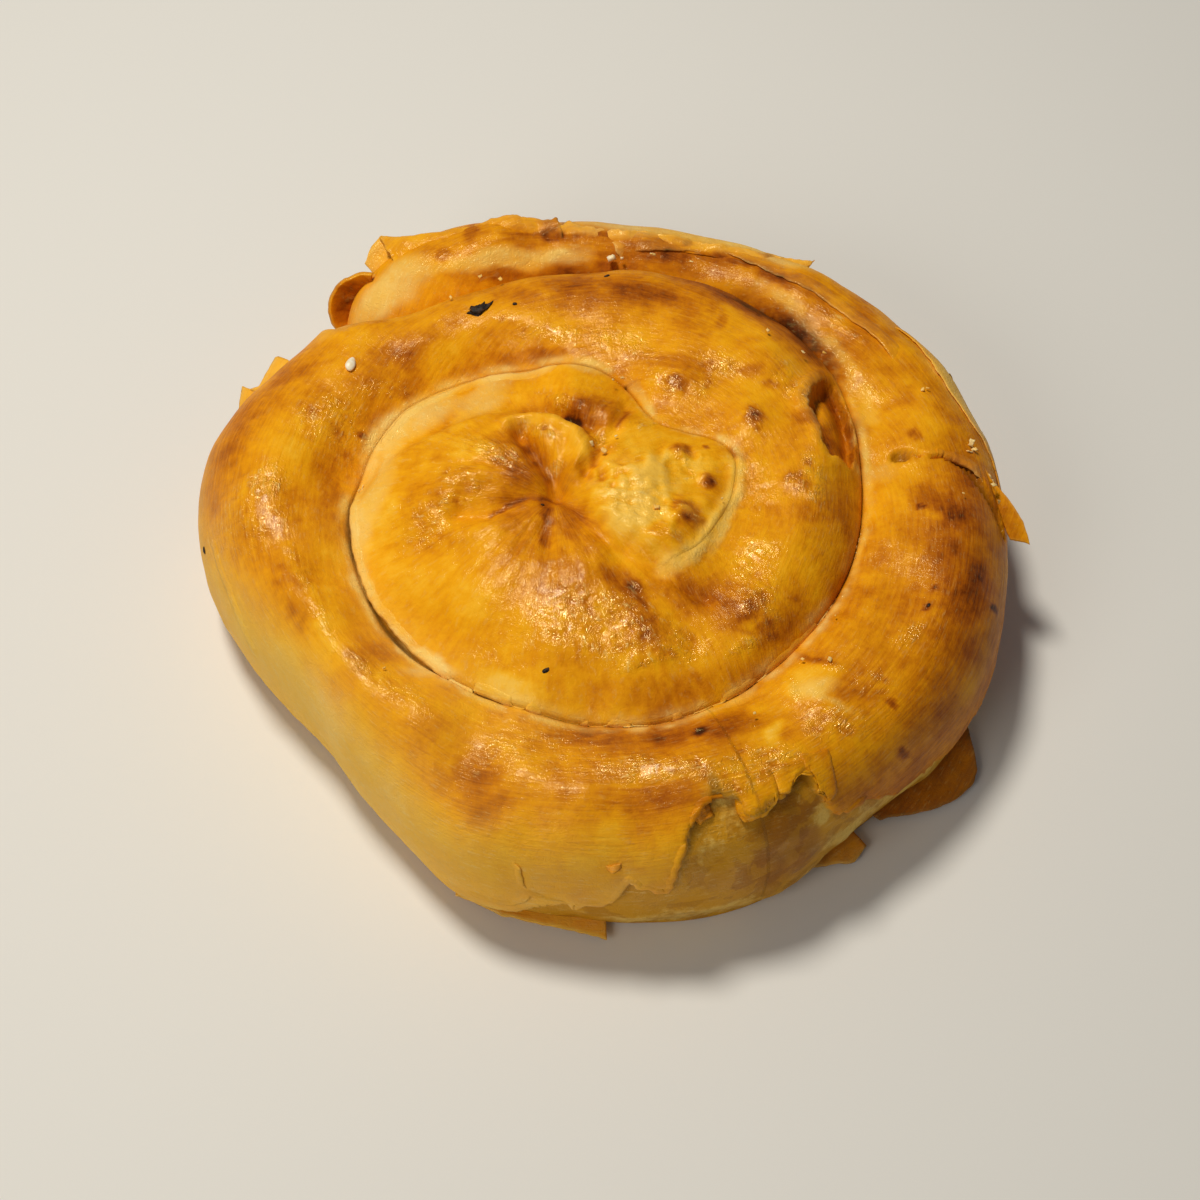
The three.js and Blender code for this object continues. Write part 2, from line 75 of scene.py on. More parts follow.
# The outer side: a round, pressed flat in places, with the tail standing out of it.
SIDE_RADIUS = 82.3
SIDE_OFFSET = (1.9, 4.6)
SIDE_WIDEST_HEIGHT = 15
SIDE_TUCK = 6.5
SIDE_FORM = [(32, 36, 2.2), (168, 24, 4), (215, 36, -10), (238, 18, -3), (288, 22, 1.6), (314, 20, -2)]
TAIL_FROM, TAIL_FULL, TAIL_SHOULDER, TAIL_END = 84, 120, 127, 136
TAIL_HEIGHT, TAIL_DIP = 8, 2.2

KNOT_HEIGHT = 44
PINCH = (-9, -3)
KNOT_BLEND = 42
KNOT_ROUNDNESS = 2.3

# How square the roll's outer flank is, and how much of the inner flank is as round as that.
FLANK_ROUNDNESS = [(293, 2.2), (400, 2.4), (430, 3.2), (480, 3), (520, 2.3), (861, 2.2)]
INNER_FLANK = [
    (293, 0.5), (400, 0.4), (440, 0.2), (470, 0.08), (530, 0.08), (600, 0.12), (660, 0.25), (760, 0.35),
    (800, 0.2), (861, 0.2),
]

# How steeply a flank drops into the seam, and how it stands as the pie's outer side: along the roll.
FLANK_STEEPNESS = [(293, 0.45), (485, 0.45), (501, 1), (861, 1)]
KNOT_STEEPNESS = 0.4

# The crease below the knot's upper lobe: direction, distance from the coil's centre.
CREASE = [(100, 12), (116, 20.8), (132, 27.5), (153, 36), (168, 44.5), (184, 49)]
CREASE_STEP = 3.2
CREASE_WIDTH = 7

# Folds pinched together at the middle, and the ridges between them: line, height, width.
FOLDS = [
    ([(-15.8, 12.3), (-12.5, 7), (-10, 3), (-8.6, -1)], -2.8, 2.1),
    ([(-18.3, 15), (-13.7, 16.6), (-8.2, 15.1), (-4.4, 11.6), (-3, 6), (-4.5, 2.4)], 1.7, 2),
    ([(-12, 20), (-7, 18.7), (-2, 13.4), (0, 7), (-3, 1)], -1.5, 1.7),
    ([(-8, 22), (-2, 20), (4.5, 17.5)], 1.3, 2.8),
    ([(6, 21), (3.6, 14.5), (1, 11)], -1.2, 1.5),
    ([(-27, -7), (-21.4, -7.1), (-17.8, -5.3), (-14.1, -3.8), (-9.6, -2.9)], -1.3, 1.8),
    ([(-32, -1), (-22, 0.8), (-13, 0.4)], 1, 2.4),
    ([(-26, -12), (-17, -9.4), (-11, -8)], 0.7, 2.6),
    ([(-37, -14), (-26, -6)], -0.7, 3.4),
    ([(-10.6, -5), (-10.2, -16)], -0.7, 1.6),
    ([(-7, -3), (-1.3, -11.1), (5.2, -16.4), (11.6, -20.8), (20, -26)], -1.6, 2.2),
    ([(-1, -4), (3.5, -11.5), (9, -15.6), (14, -16.5)], 0.8, 2),
    ([(4, -20), (17, -34)], -1.3, 4.2),
    ([(27.6, 6), (26.4, -1), (22.8, -9.6), (16.6, -18.4)], 0.6, 1.4),
]
PLEATS, PLEAT_HEIGHT, PLEAT_REACH = 27, 0.3, 15

# Swellings and hollows of the crust: x, y, reach, height.
SWELLINGS = [
    (-28, 4, 13, 1.6), (-21, 9, 6, 1), (10, -6, 10, 1.6), (16.1, -9.4, 3, 1.7), (21.1, 1.5, 2.1, 1.2),
    (15.1, 7.8, 1.9, 1), (11.6, -13.8, 3.2, 0.9), (7.8, -1, 3.6, 0.9), (10, 4.4, 3, 0.7), (3, -4, 3, 0.6),
    (20.6, -4.6, 2, 0.7), (-2, -36, 20, 1.4), (29, -29, 7, 1.2), (-66, 7, 13, 2), (-59, -18, 9, 1.4),
    (-49, -34, 9, 1.6), (-32, -47, 9, 1.2), (-53, -16, 6, -1.8), (-45, -29, 6, -1.8),
    (-60, 34, 12, 1.2), (16, -58, 13, 1.4), (-24, -62, 8, -1.6), (40, -42, 6, 1),
    (66, -10, 12, 1.2), (35, 40, 11, 1.2), (0, 52, 12, 1), (40, 6, 8, 1), (31, 17, 4, 0.8), (17, 28, 4, 0.8),
    (0, -22, 9, 0.9), (-14, -24, 8, 0.8),
]

# The lump of filling that swelled out of the middle: x, y, half its length, half its width, lean, amount.
LUMP = [(8, -5, 13, 8.4, -34, 1), (15.5, 4.5, 7, 5, 20, 0.8)]

# Gentle unevenness all over: wavelength, direction, height.
WAVES = [(31, 20, 0.35), (23, 100, 0.3), (17, 160, 0.22), (13, 62, 0.16)]

# The blister near the outer edge of the second turn, broken open: its rim in plan.
BLISTER_RIM = [
    (42, 23.6), (43.7, 27.7), (45.7, 31.8), (48.5, 33.5), (50.3, 31), (51.5, 27), (52.5, 22), (52.5, 17),
    (52, 12), (50.6, 8.4), (49.5, 9), (48, 9.6), (45.8, 8.4), (44.8, 11.7), (44, 16.2), (42.6, 20.1),
]
BLISTER_DEPTH = 5.5

# The torn lower edge of the brown crust on the front right side: direction, height.
TEAR = [
    (-112, 2), (-104, 5), (-95.5, 15), (-93.4, 14.1), (-89.3, 16.9), (-87.3, 20), (-86.1, 23.4), (-84.6, 21.9),
    (-80.9, 21.3), (-79.9, 25), (-78.9, 28.8), (-77.9, 31.6), (-77, 33.5), (-74.5, 35.2), (-71.5, 35.6),
    (-69.7, 35.8), (-69.3, 33.9), (-66.9, 33.4), (-64.7, 33.9), (-61.8, 34.2), (-59.3, 35), (-58, 34.8),
    (-57.4, 30.4), (-55.7, 25), (-53.5, 23.3), (-50.8, 22.8), (-47.8, 20.3), (-43.7, 16.1), (-36, 15),
    (-28, 14), (-20, 11), (-12, 7),
]
TEAR_STEP = 1.5
TEAR_WIDTH = 0.8

# The crack across the outer turn on the right: plan points, half its width there.
CRACK = [(60.6, 13.6), (62.6, 13.4), (66, 13), (70.3, 13.3), (72.6, 12.4), (74.4, 11.2), (76.3, 8.9), (78.2, 6.2),
         (80.1, 3.2), (81.6, -1)]
CRACK_RUN = [(x, y, 33) for x, y in CRACK]
CRACK_HALF_WIDTH = [(60, 1.3), (62.4, 1.0), (63.6, 0.3), (71, 0.35), (74, 0.8), (78, 1.1), (80.5, 0.7), (82, 0.3)]
CRACK_DEPTH = 1.6

# Spacing of the crust's mesh: rows in a turn, facets across the roll, down the side, under the foot.
TURN_ROWS = 675
ROW_STEP = 360 / TURN_ROWS
ACROSS = 50
DOWN_SIDE = 18
UNDER_FOOT = 10
KNOT_SPACING = 0.62
KNOT_RINGS = (0.998, 0.992, 0.982, 0.968, 0.952, 0.936)


# ---- Curves and fields ----

def ease(start, end, x):
    t = np.clip((x - start) / (end - start), 0, 1)
    return t * t * (3 - 2 * t)


def mix(a, b, share):
    return a + (b - a) * share


def along(stations, x, column=1):
    """Reads a smooth line through given stations at x."""
    table = np.asarray(stations, float)
    xs, ys = table[:, 0], table[:, column]
    before = np.maximum(np.arange(len(xs)) - 1, 0)
    after = np.minimum(np.arange(len(xs)) + 1, len(xs) - 1)
    slopes = (ys[after] - ys[before]) / (xs[after] - xs[before])
    at = np.clip(x, xs[0], xs[-1])
    i = np.clip(np.searchsorted(xs, at) - 1, 0, len(xs) - 2)
    span = xs[i + 1] - xs[i]
    t = (at - xs[i]) / span
    bend = t * (1 - t) ** 2 * span * slopes[i] + t * t * (t - 1) * span * slopes[i + 1]
    return mix(ys[i], ys[i + 1], t * t * (3 - 2 * t)) + bend


def hump(angle, half_angle, theta):
    apart = np.abs((theta - angle + 180) % 360 - 180)
    return np.where(apart < half_angle, np.cos(apart / half_angle * math.pi / 2) ** 2, 0)


def bell(distance, reach):
    return np.exp(-((distance / reach) ** 2))


def side_radius(theta):
    turn = np.asarray(theta, float) % 360
    offset = SIDE_OFFSET[0] * np.cos(np.radians(turn)) + SIDE_OFFSET[1] * np.sin(np.radians(turn))
    formed = sum(out * hump(angle, half, turn) for angle, half, out in SIDE_FORM)
    standing = ease(TAIL_FROM, TAIL_FULL, turn) * (1 - ease(TAIL_SHOULDER, TAIL_END, turn))
    behind_tail = TAIL_DIP * hump(TAIL_END + 6, 22, turn)
    return SIDE_RADIUS + offset + formed + TAIL_HEIGHT * standing - behind_tail


def edge_radius(phi):
    return np.where(phi < SEAM_END, along(SEAM, phi), side_radius(phi))


def super_round(share, power, steepness):
    """The height of a rounded profile of height 1 at a share of its reach."""
    fallen = np.clip(share, 0, 1) ** power
    return mix(1 - fallen, (1 - fallen) ** (1 / power), steepness)


def dome_height(theta, r):
    phi = np.where(theta < SEAM_START + KNOT_BLEND, theta + 360, theta)
    rise = super_round(r / along(SEAM, phi), KNOT_ROUNDNESS, KNOT_STEEPNESS)
    return mix(along(SEAM, phi, 2), KNOT_HEIGHT, rise)


def opened(phi):
    return ease(SEAM_START, SEAM_START + KNOT_BLEND, phi)


def edge_height(phi):
    seam = mix(dome_height(phi, edge_radius(phi)), along(SEAM, phi, 2), opened(phi))
    return np.where(phi >= SEAM_END, SIDE_WIDEST_HEIGHT, seam)


def direction_in_knot(x, y):
    direction = np.degrees(np.arctan2(y, x))
    return np.where(direction < SEAM_START, direction + 360, direction)


def knot_height(x, y):
    phi = direction_in_knot(x, y)
    r = np.hypot(x, y)
    rise = super_round(r / edge_radius(phi), KNOT_ROUNDNESS, KNOT_STEEPNESS)
    own = mix(edge_height(phi), KNOT_HEIGHT, rise)
    return np.where(phi < SEAM_START + KNOT_BLEND, mix(dome_height(phi, r), own, opened(phi)), own)


def distance_to_stretch(x, y, start, end):
    dx, dy = end[0] - start[0], end[1] - start[1]
    t = np.clip(((x - start[0]) * dx + (y - start[1]) * dy) / (dx * dx + dy * dy), 0, 1)
    return np.hypot(x - start[0] - t * dx, y - start[1] - t * dy)


def distance_to_line(x, y, line):
    return np.min([distance_to_stretch(x, y, a, b) for a, b in zip(line, line[1:])], axis=0)


def grain(points, size, seed=0):
    """Smooth noise from -1 to 1, its lumps about `size` across."""
    cells = np.asarray(points, float) / size + 31.7 * seed
    base = np.floor(cells).astype(np.int64)
    part = cells - base
    fade = part ** 3 * (part * (part * 6 - 15) + 10)
    total = np.zeros(len(cells))
    for corner in itertools.product((0, 1), repeat=3):
        spot = base + corner
        mixed = spot[:, 0] * 73856093 ^ spot[:, 1] * 19349663 ^ spot[:, 2] * 83492791 ^ seed * 7919
        mixed = (mixed ^ mixed >> 13) * 1274126177 & 0xFFFFFFFF
        value = (mixed ^ mixed >> 16) / 0xFFFFFFFF * 2 - 1
        total += value * np.prod(np.where(corner, fade, 1 - fade), axis=1)
    return total


def rough(points, size, seed=0, octaves=4):
    """Several sizes of grain together, the smaller ones weaker."""
    layers = [grain(points, size / 2 ** k, seed + k) / 2 ** k for k in range(octaves)]
    return sum(layers) / 1.4


def seam_offset(x, y):
    """How far a plan point lies outside the nearest turn of seam, and the angle along it there."""
    phi = direction_in_knot(x, y)
    r = np.hypot(x, y)
    inner = r - edge_radius(phi)
    outer = np.where(phi + 360 <= SEAM_END, r - along(SEAM, phi + 360), 1e3)
    nearer = np.abs(outer) < np.abs(inner)
    return np.where(nearer, outer, inner), np.where(nearer, phi + 360, phi)


# ---- Node trees ----

class Wire:
    """An output socket of a node. Arithmetic on it adds the Math nodes that work it out."""

    def __init__(self, tree, socket):
        self.tree = tree
        self.socket = socket

    def out(self, name):
        return Wire(self.tree, self.socket.node.outputs[name])

    def __add__(self, other):
        return self.tree.math("ADD", self, other)

    def __radd__(self, other):
        return self.tree.math("ADD", other, self)

    def __sub__(self, other):
        return self.tree.math("SUBTRACT", self, other)

    def __rsub__(self, other):
        return self.tree.math("SUBTRACT", other, self)

    def __mul__(self, other):
        return self.tree.math("MULTIPLY", self, other)

    def __rmul__(self, other):
        return self.tree.math("MULTIPLY", other, self)

    def __truediv__(self, other):
        return self.tree.math("DIVIDE", self, other)

    def __rtruediv__(self, other):
        return self.tree.math("DIVIDE", other, self)

    def __pow__(self, other):
        return self.tree.math("POWER", self, other)

    def __mod__(self, other):
        return self.tree.math("FLOORED_MODULO", self, other)

    def __lt__(self, other):
        return self.tree.math("LESS_THAN", self, other)

    def __abs__(self):
        return self.tree.math("ABSOLUTE", self)


class Tree:
    """The nodes of one material or of one geometry group."""

    def __init__(self, data):
        self.data = data
        self.data.nodes.clear()

    def node(self, kind, settings=None, values=(), output=0):
        """Adds a node: its settings first, then the values or wires of its sockets."""
        node = self.data.nodes.new(kind)
        for name, setting in (settings or {}).items():
            if name == "stops":
                self.set_stops(node.color_ramp, setting)
            else:
                setattr(node, name, setting)
        pairs = values.items() if isinstance(values, dict) else enumerate(values)
        for key, value in pairs:
            for each in value if isinstance(value, list) else [value]:
                if isinstance(each, Wire):
                    self.data.links.new(each.socket, node.inputs[key])
                else:
                    node.inputs[key].default_value = each
        return Wire(self, node.outputs[output]) if len(node.outputs) else node

    @staticmethod
    def set_stops(ramp, stops):
        while len(ramp.elements) < len(stops):
            ramp.elements.new(0.5)
        for element, (position, colour) in zip(ramp.elements, stops):
            element.position = position
            element.color = (*colour, 1)

    def math(self, operation, *values):
        return self.node("ShaderNodeMath", {"operation": operation}, values)

    def ease(self, start, end, x):
        t = self.node("ShaderNodeMath", {"operation": "DIVIDE", "use_clamp": True}, (x - start, end - start))
        return t * t * (3 - 2 * t)

    def clamped(self, x):
        return self.node("ShaderNodeMath", {"operation": "ADD", "use_clamp": True}, (x, 0.0))


class GeometryTree(Tree):
    """A geometry group with named inputs. The group's own name says what it makes."""

    def __init__(self, name):
        super().__init__(bpy.data.node_groups.new(name, "GeometryNodeTree"))
        self.entry = self.data.nodes.new("NodeGroupInput")
        self.inputs = {}

    def input(self, name, kind, default=None):
        socket = self.data.interface.new_socket(name, in_out="INPUT", socket_type=kind)
        if default is not None:
            socket.default_value = default
        self.inputs[name] = socket.identifier
        return Wire(self, self.entry.outputs[name])

    def finish(self, shape, material):
        """Ends the tree: realized, smooth and in one material."""
        self.data.interface.new_socket("Geometry", in_out="OUTPUT", socket_type="NodeSocketGeometry")
        whole = self.node("GeometryNodeRealizeInstances", {}, {"Geometry": shape})
        smooth = self.node("GeometryNodeSetShadeSmooth", {}, {"Geometry": whole})
        dressed = self.node("GeometryNodeSetMaterial", {}, {"Geometry": smooth, "Material": material})
        self.node("NodeGroupOutput", {}, (dressed,))

    def grow(self, item, sizes):
        """Runs the tree on an object and leaves it with the resulting plain mesh."""
        modifier = item.modifiers.new(self.data.name, "NODES")
        modifier.node_group = self.data
        for name, size in sizes.items():
            modifier[self.inputs[name]] = size
        depsgraph = bpy.context.evaluated_depsgraph_get()
        grown = bpy.data.meshes.new_from_object(item.evaluated_get(depsgraph))
        item.modifiers.remove(modifier)
        item.data = grown
        return item


# ---- Meshes ----

def placed(points):
    """Plan points in millimetres as metres in the part's frame."""
    return (np.asarray(points, float) + (*COIL_CENTRE, 0)) * MM


def new_item(name, mesh):
    item = bpy.data.objects.new(name, mesh)
    bpy.context.scene.collection.objects.link(item)
    return item


def make_mesh(name, points, faces, edges=()):
    mesh = bpy.data.meshes.new(name)
    mesh.from_pydata(np.asarray(points, float).tolist(), list(edges), list(faces))
    mesh.update()
    return mesh


def give_field(mesh, name, values):
    """Stores one number for each point of a mesh under a name."""
    attribute = mesh.attributes.new(name, "FLOAT", "POINT")
    attribute.data.foreach_set("value", np.asarray(values, np.float32))


def points_of(mesh):
    flat = np.empty(3 * len(mesh.vertices))
    mesh.vertices.foreach_get("co", flat)
    return flat.reshape(-1, 3)


# ---- The coil: a geometry group that rolls the pastry up along its seam ----

def coil_tree():
    tree = GeometryTree("Pie roll along its seam")
    seam_line = tree.input("Seam line", "NodeSocketGeometry")
    rows = tree.input("Rows", "NodeSocketInt", 100)
    turn_rows = tree.input("Rows in a turn", "NodeSocketInt", 100)
    across = tree.input("Facets across the roll", "NodeSocketInt", 12)
    down = tree.input("Facets down the side", "NodeSocketInt", 6)
    under = tree.input("Rings under the foot", "NodeSocketInt", 4)
    knot_height = tree.input("Height of the knot", "NodeSocketFloat", 44.0)
    knot_power = tree.input("Roundness of the knot", "NodeSocketFloat", 2.3)
    knot_steepness = tree.input("Steepness of the knot", "NodeSocketFloat", 0.4)
    widest = tree.input("Height of the widest line", "NodeSocketFloat", 15.0)
    tuck = tree.input("Tuck of the side", "NodeSocketFloat", 6.5)
    material = tree.input("Crust", "NodeSocketMaterial")
    position = tree.node("GeometryNodeInputPosition")
    index = tree.node("GeometryNodeInputIndex")

    def line_value(name, row):
        value = tree.node("GeometryNodeInputNamedAttribute", {"data_type": "FLOAT"}, {"Name": name})
        return tree.node("GeometryNodeSampleIndex", {"data_type": "FLOAT"}, (seam_line, value, row))

    def line_point(row):
        return tree.node("GeometryNodeSampleIndex", {"data_type": "FLOAT_VECTOR"}, (seam_line, position, row))

    def sheet(columns, column_length, shape):
        """A grid whose column number runs outwards and whose row number runs round the coil."""
        grid = tree.node("GeometryNodeMeshGrid", {}, {"Vertices X": columns, "Vertices Y": column_length})
        row = index % column_length
        column = tree.math("FLOOR", index / column_length + 1e-4)
        return tree.node("GeometryNodeSetPosition", {}, {"Geometry": grid, "Position": shape(column, row)})

    def at_radius(edge_point, r, z):
        flat = tree.node("ShaderNodeVectorMath", {"operation": "MULTIPLY"}, (edge_point, (1, 1, 0)))
        ray = tree.node("ShaderNodeVectorMath", {"operation": "NORMALIZE"}, (flat,))
        ends = tree.node("ShaderNodeVectorMath", {"operation": "SCALE"}, {"Vector": ray, "Scale": r})
        lift = tree.node("ShaderNodeCombineXYZ", {}, {"Z": z})
        return tree.node("ShaderNodeVectorMath", {"operation": "ADD"}, (ends, lift))

    def plan_length(point):
        parts = tree.node("ShaderNodeSeparateXYZ", {}, (point,))
        return (parts * parts + parts.out("Y") * parts.out("Y")) ** 0.5

    def height(point):
        return tree.node("ShaderNodeSeparateXYZ", {}, (point,), "Z")

    def rounded(share, power, steepness):
        left = tree.math("MAXIMUM", 1 - tree.math("MINIMUM", share, 1.0) ** power, 0.0)
        return left + (left ** (1 / power) - left) * steepness

    def roll(column, row):
        inner, outer = line_point(row), line_point(row + turn_rows)
        v = column / across
        swing = tree.math("COSINE", v * math.pi)
        r_inner, r_outer = plan_length(inner), plan_length(outer)
        r = r_inner + (r_outer - r_inner) * (1 - swing) * 0.5
        power, steepness = line_value("roundness", row + turn_rows), line_value("steepness", row + turn_rows)
        full = rounded(abs(swing), power, steepness)
        gentle = tree.ease(0.0, 0.5, v)
        on_inner_half = v < 0.5
        flank = gentle + (full - gentle) * line_value("inner_flank", row + turn_rows)
        rise = full + (flank - full) * on_inner_half
        low = height(outer) + (height(inner) - height(outer)) * on_inner_half
        own = low + (line_value("crown", row + turn_rows) - low) * rise
        dome = height(outer) + (knot_height - height(outer)) * rounded(r / r_outer, knot_power, knot_steepness)
        return at_radius(outer, r, dome + (own - dome) * line_value("opened", row))

    def side(column, row):
        edge_point = line_point(row + (rows - turn_rows))
        u = tree.math("MINIMUM", column / down, 1.0)
        turn = u * (math.pi / 2)
        tucked = plan_length(edge_point) - tuck * (1 - tree.math("COSINE", turn) ** 0.8)
        inward = tree.math("MAXIMUM", (column - down) / under, 0.0)
        return at_radius(edge_point, tucked * (1 - inward), widest * (1 - tree.math("SINE", turn)))

    top = sheet(across + 1, rows - turn_rows + 1, roll)
    wall = sheet(down + under + 1, turn_rows + 1, side)
    joined = tree.node("GeometryNodeJoinGeometry", {}, {"Geometry": [top, wall]})
    closed = tree.node("GeometryNodeMergeByDistance", {}, {"Geometry": joined, "Distance": 0.002})
    tree.finish(closed, material)
    return tree


def seam_line_item():
    """The roll's outer edge from the knot to the tail, with what its profile is there."""
    phi = SEAM_START + ROW_STEP * np.arange(round((ROLL_END - SEAM_START) / ROW_STEP) + 1)
    turn = np.radians(phi)
    r = edge_radius(phi)
    points = np.stack([r * np.cos(turn), r * np.sin(turn), edge_height(phi)], axis=1)
    mesh = make_mesh("seam_line", points, [], [(k, k + 1) for k in range(len(phi) - 1)])
    give_field(mesh, "crown", along(CROWN, phi))
    give_field(mesh, "roundness", along(FLANK_ROUNDNESS, phi))
    give_field(mesh, "inner_flank", along(INNER_FLANK, phi))
    give_field(mesh, "steepness", along(FLANK_STEEPNESS, phi))
    give_field(mesh, "opened", opened(phi))
    return new_item("pie_crust", mesh), len(phi) - 1


def open_loop(mesh):
    """The vertices round the one opening of a mesh, in order."""
    uses = {}
    for polygon in mesh.polygons:
        for edge in polygon.edge_keys:
            uses[edge] = uses.get(edge, 0) + 1
    following = {}
    for a, b in (edge for edge, count in uses.items() if count == 1):
        following.setdefault(a, []).append(b)
        following.setdefault(b, []).append(a)
    first = min(following)
    loop = [first]
    before, here = first, following[first][0]
    while here != first:
        loop.append(here)
        onward = [v for v in following[here] if v != before][0]
        before, here = here, onward
    return loop


def knot_filling(loop_points):
    """Triangles over the knot, inside the loop of seam: the new points and the faces."""
    ring = loop_points[:, :2]
    rings = [PINCH + (ring - PINCH) * share for share in KNOT_RINGS]
    low, high = ring.min(axis=0), ring.max(axis=0)
    lines = []
    for j, y in enumerate(np.arange(low[1], high[1], KNOT_SPACING * math.sqrt(3) / 2)):
        x = np.arange(low[0] + KNOT_SPACING * (j % 2) / 2, high[0], KNOT_SPACING)
        lines.append(np.column_stack([x, np.full(len(x), y)]))
    grid = np.vstack(lines)
    grid = grid[share_of_loop(grid, ring) < KNOT_RINGS[-1] - 0.4 * KNOT_SPACING / 40]
    spots = np.vstack([*rings, grid])
    count = len(ring)
    border = [(k, (k + 1) % count) for k in range(count)]
    every = [Vector(spot) for spot in np.vstack([ring, spots])]
    cut = geometry.delaunay_2d_cdt(every, border, [], 1, 1e-6)
    origin = [sources[0] for sources in cut[3]]
    faces = [[origin[v] for v in face] for face in cut[2]]
    return np.column_stack([spots, knot_height(spots[:, 0], spots[:, 1])]), faces


def share_of_loop(spots, ring):
    """How far from the pinch each spot lies, as a share of the way to the loop."""
    ring_turn = np.arctan2(ring[:, 1] - PINCH[1], ring[:, 0] - PINCH[0])
    ring_reach = np.hypot(ring[:, 0] - PINCH[0], ring[:, 1] - PINCH[1])
    order = np.argsort(ring_turn)
    turn = np.arctan2(spots[:, 1] - PINCH[1], spots[:, 0] - PINCH[0])
    edge = np.interp(turn, ring_turn[order], ring_reach[order], period=2 * math.pi)
    return np.hypot(spots[:, 0] - PINCH[0], spots[:, 1] - PINCH[1]) / edge


# ---- What the crust's own unevenness adds ----

def inside(x, y, outline):
    """Whether plan points lie inside a closed outline."""
    crossings = np.zeros(len(x), int)
    for (ax, ay), (bx, by) in zip(outline, outline[1:] + outline[:1]):
        spans = (ay > y) != (by > y)
        crossings += spans & (x < ax + (bx - ax) * (y - ay) / ((by - ay) or 1))
    return crossings % 2 == 1


def blister_distance(points):
    """How far plan points lie outside the broken blister's rim, made ragged; less than 0 inside."""
    x = points[:, 0] + 0.5 * rough(points, 2.4, 5, 3)
    y = points[:, 1] + 0.5 * rough(points, 2.4, 8, 3)
    distance = distance_to_line(x, y, BLISTER_RIM + BLISTER_RIM[:1])
    return np.where(inside(x, y, BLISTER_RIM), -distance, distance)


SLOT_DEPTH = 1.2
SLOT_WIDTH = 0.32
SLOT_WIDENING = 2.4

# How far the seam between the turns stands open, which deepens its slot and the painted shade in it: angle along the
# roll, share.
SEAM_GAP = [
    (-67, 0), (-30, 0.02), (20, 0.04), (50, 0.1), (85, 0.2), (130, 0.15), (165, 0.2), (188, 0.85), (198, 0.4),
    (216, 0.95), (230, 0.4), (250, 0.1), (300, 0.1), (322, 0.25), (340, 0.5), (366, 0.45), (380, 0.15),
    (425, 0.15), (460, 0.15), (488, 0.15), (501, 0),
]


def relief(points):
    """The height that folds, pleats, swellings and the blister add."""
    x, y = points[:, 0], points[:, 1]
    height = np.zeros(len(points))
    warped_x = x + 0.9 * grain(points, 6, 13) + 0.4 * grain(points, 2.4, 14)
    warped_y = y + 0.9 * grain(points, 6, 15) + 0.4 * grain(points, 2.4, 16)
    for line, rise, width in FOLDS:
        height += rise * bell(distance_to_line(warped_x, warped_y, line), width)
    from_pinch = np.hypot(x - PINCH[0], y - PINCH[1])
    turn = np.arctan2(y - PINCH[1], x - PINCH[0]) + 0.12 * rough(points, 6, 17, 3)
    pleated = np.abs(np.sin(turn * PLEATS / 2)) - 0.6
    height += PLEAT_HEIGHT * pleated * bell(from_pinch - 6, PLEAT_REACH) * ease(2, 7, from_pinch)
    for at_x, at_y, reach, size in SWELLINGS:
        height += size * bell(np.hypot(x - at_x, y - at_y), reach)
    for wavelength, direction, size in WAVES:
        run = x * math.cos(math.radians(direction)) + y * math.sin(math.radians(direction))
        height += size * np.sin(run / wavelength * 2 * math.pi + direction)
    out = blister_distance(points)
    height -= BLISTER_DEPTH * ease(0, 1.5, -out) * (0.8 + 0.25 * grain(points, 4, 6))
    height += 0.7 * bell(out - 1.4, 1.6)
    from_crack = distance_to_line(x, y, CRACK)
    height -= CRACK_DEPTH * (1 - ease(0.5, 1.2, from_crack / along(CRACK_HALF_WIDTH, x)))
    return height


def crease_drop(points):
    """How far the knot lies lower outside its crease. The next turn comes down to meet it there."""
    x, y = points[:, 0], points[:, 1]
    phi = direction_in_knot(x, y)
    r = np.hypot(x, y)
    edge = edge_radius(phi)
    fade = ease(CREASE[0][0], CREASE[1][0], phi) * (1 - ease(CREASE[4][0], CREASE[5][0], phi))
    step = ease(-CREASE_WIDTH / 2, CREASE_WIDTH / 2, np.minimum(r, edge) - along(CREASE, phi))
    return CREASE_STEP * fade * step * (1 - ease(0, 11, r - edge))


def lay_back(points):
    """Moves the side inwards where the brown crust has torn away."""
    theta = np.degrees(np.arctan2(points[:, 1], points[:, 0]))
    first, last = TEAR[0][0], TEAR[-1][0]
    fade = ease(first, first + 8, theta) * (1 - ease(last - 8, last, theta))
    r = np.hypot(points[:, 0], points[:, 1])
    below = ease(-TEAR_WIDTH / 2, TEAR_WIDTH / 2, torn_edge(theta) - points[:, 2])
    below = below * fade * ease(64, 67, r) * ease(0, 2, points[:, 2])
    layers = 1 + 0.35 * rough(points * (1, 1, 2.2), 9, 61)
    scale = (r - TEAR_STEP * below * layers) / np.maximum(r, 1)
    sunk = 0.7 * below * ease(20, 32, points[:, 2])
    return points * np.column_stack([scale, scale, np.ones(len(points))]) - np.outer(sunk, (0, 0, 1))


def torn_edge(theta):
    """The height of the torn edge of the crust in a direction."""
    ragged = np.column_stack([theta, theta * 0, theta * 0])
    return along(TEAR, theta) + 0.7 * grain(ragged, 1.9, 3) + 0.4 * grain(ragged, 0.8, 4)


